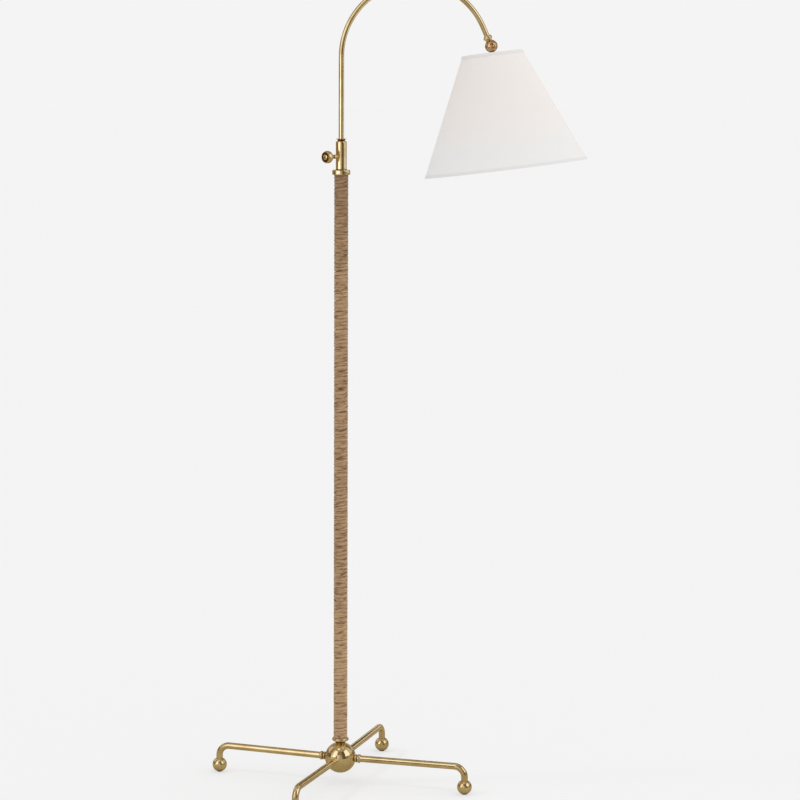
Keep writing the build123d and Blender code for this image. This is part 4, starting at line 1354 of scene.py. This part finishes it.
@dataclass
class Studio:
    """Floor, light and camera, in metres."""

    camera_at: tuple[float, float, float] = (0.0068, -5.4915, 1.5298)
    pitch: float = -8.132
    yaw: float = 1.095
    roll: float = 0.251
    focal_px: float = 2931.2
    frame_px: float = 800.0
    backdrop: Colour = (244, 244, 244)
    sky: float = 0.9
    sky_lean: float = 0.33
    floor_size: float = 60.0
    cards_away: float = 4.2

    def camera(self) -> None:
        """Camera at the photograph's place: the view turns by yaw, pitch and roll from looking along +Y."""
        data = bpy.data.cameras.new("camera")
        data.sensor_width = 36.0
        data.lens = self.focal_px / self.frame_px * data.sensor_width
        data.clip_end = 200.0
        made = bpy.data.objects.new("camera", data)
        bpy.context.collection.objects.link(made)
        turn = Matrix.Rotation(-math.radians(self.yaw), 4, "Z") @ Matrix.Rotation(math.pi / 2 + math.radians(self.pitch), 4, "X")
        turn = turn @ Matrix.Rotation(math.radians(self.roll), 4, "Z")
        made.matrix_world = Matrix.Translation(self.camera_at) @ turn
        bpy.context.scene.camera = made

    def world(self) -> None:
        """White to the camera and in reflections, and for all other light a sky that is brighter on the right."""
        world = bpy.data.worlds.new("studio")
        bpy.context.scene.world = world
        world.use_nodes = True
        tree = world.node_tree
        tree.nodes.clear()
        path = tree.nodes.new("ShaderNodeLightPath")
        shown = tree.nodes.new("ShaderNodeMath")
        shown.operation = "MAXIMUM"
        either = tree.nodes.new("ShaderNodeMath")
        either.operation = "MAXIMUM"
        tree.links.new(path.outputs["Is Camera Ray"], shown.inputs[0])
        tree.links.new(path.outputs["Is Glossy Ray"], either.inputs[0])
        tree.links.new(path.outputs["Is Transmission Ray"], either.inputs[1])
        tree.links.new(either.outputs[0], shown.inputs[1])
        sky, back = (tree.nodes.new("ShaderNodeBackground") for _ in range(2))
        sky.inputs["Color"].default_value = (1.0, 1.0, 1.0, 1.0)
        way = tree.nodes.new("ShaderNodeSeparateXYZ")
        tree.links.new(tree.nodes.new("ShaderNodeTexCoord").outputs["Generated"], way.inputs[0])
        lean = tree.nodes.new("ShaderNodeMath")
        lean.operation = "MULTIPLY_ADD"
        lean.inputs[1].default_value, lean.inputs[2].default_value = self.sky_lean, self.sky
        tree.links.new(way.outputs["X"], lean.inputs[0])
        tree.links.new(lean.outputs[0], sky.inputs["Strength"])
        back.inputs["Color"].default_value = linear(self.backdrop)
        mix = tree.nodes.new("ShaderNodeMixShader")
        output = tree.nodes.new("ShaderNodeOutputWorld")
        tree.links.new(shown.outputs[0], mix.inputs[0])
        tree.links.new(sky.outputs[0], mix.inputs[1])
        tree.links.new(back.outputs[0], mix.inputs[2])
        tree.links.new(mix.outputs[0], output.inputs["Surface"])

    def panel(self, name: str, grid: np.ndarray, finish: Finish) -> bpy.types.Object:
        """Matte panel that belongs to the studio.

        Args:
            name: Name of the panel.
            grid: Its points in metres, rows by columns by 3.
            finish: Its finish.

        Returns:
            The panel.
        """
        rows, columns = grid.shape[:2]
        row, column = (index.ravel() for index in np.indices((rows - 1, columns - 1)))
        corners = [(row, column), (row, column + 1), (row + 1, column + 1), (row + 1, column)]
        mesh = bpy.data.meshes.new(name)
        mesh.from_pydata(grid.reshape(-1, 3).tolist(), [], np.stack([r * columns + c for r, c in corners], 1).tolist())
        mesh.materials.append(material_of(finish))
        made = bpy.data.objects.new(name, mesh)
        bpy.context.collection.objects.link(made)
        return made

    def glossy_only(self, name: str, grid: np.ndarray, finish: Finish) -> None:
        """Panel that is seen in reflections and nowhere else."""
        made = self.panel(name, grid, finish)
        made.visible_camera = made.visible_diffuse = made.visible_shadow = made.visible_transmission = False

    def cards(self) -> None:
        """Upright curved cards round the lamp and one on the ground, for polished metal."""
        for card in CARDS:
            turn = np.radians(np.linspace(card.start, card.end, 17))
            foot = card.away * np.stack([np.sin(turn), -np.cos(turn), 0 * turn], axis=-1)
            self.glossy_only(card.name, np.stack([foot + [0, 0, card.low], foot + [0, 0, card.high]]), card.finish)
        level = np.stack([*np.meshgrid([-1.0, 1.0], [-1.0, 1.0]), np.zeros((2, 2))], axis=-1)
        self.glossy_only("ground", level * self.cards_away + [0, 0, 0.0005], Tones.GROUND)
        self.glossy_only("ceiling", level * self.cards_away + [0, 0, 6.01], Tones.MID)
        self.glossy_only("roof_window", level * 0.7 + [-1.1, -1.5, 6.0], Tones.LIT)

    def build(self) -> None:
        """Sets up the studio."""
        half = np.array([-0.5, 0.5]) * self.floor_size
        self.panel("floor", np.stack([*np.meshgrid(half, half), np.zeros((2, 2))], axis=-1), Finishes.FLOOR)
        self.cards()
        self.world()
        data = bpy.data.lights.new("window", "SUN")
        data.energy, data.angle = 0.4, math.radians(10)
        sun = bpy.data.objects.new("window", data)
        bpy.context.collection.objects.link(sun)
        sun.rotation_euler = (math.radians(4), math.radians(-44), 0)
        sun.visible_glossy = False
        self.camera()
        bpy.context.scene.view_settings.view_transform = "Standard"


def main() -> None:
    """Builds the lamp in order, then the studio."""
    logging.basicConfig(level=logging.INFO, format="%(name)s: %(message)s")
    stand = Stand()
    stand.build()
    Column(cup_z=stand.hub_top).build()
    Rope().build()
    ThumbScrew().build()
    arm = Arm()
    arm.build()
    lean = math.radians(6.95)
    turn = np.array(Matrix.Rotation(math.radians(-10), 3, arm.way))
    centre, pivot = arm.end + arm.way * 39.5, turn @ [0.0, 1.0, 0.0]
    Swivel(Place.along(centre, arm.way, pivot)).build()
    head = Place.along(centre, turn @ [math.sin(lean), 0.0, -math.cos(lean)], pivot)
    Shade(head).build()
    LampHolder(head).build()
    Studio().build()


if __name__ == "__main__":
    main()
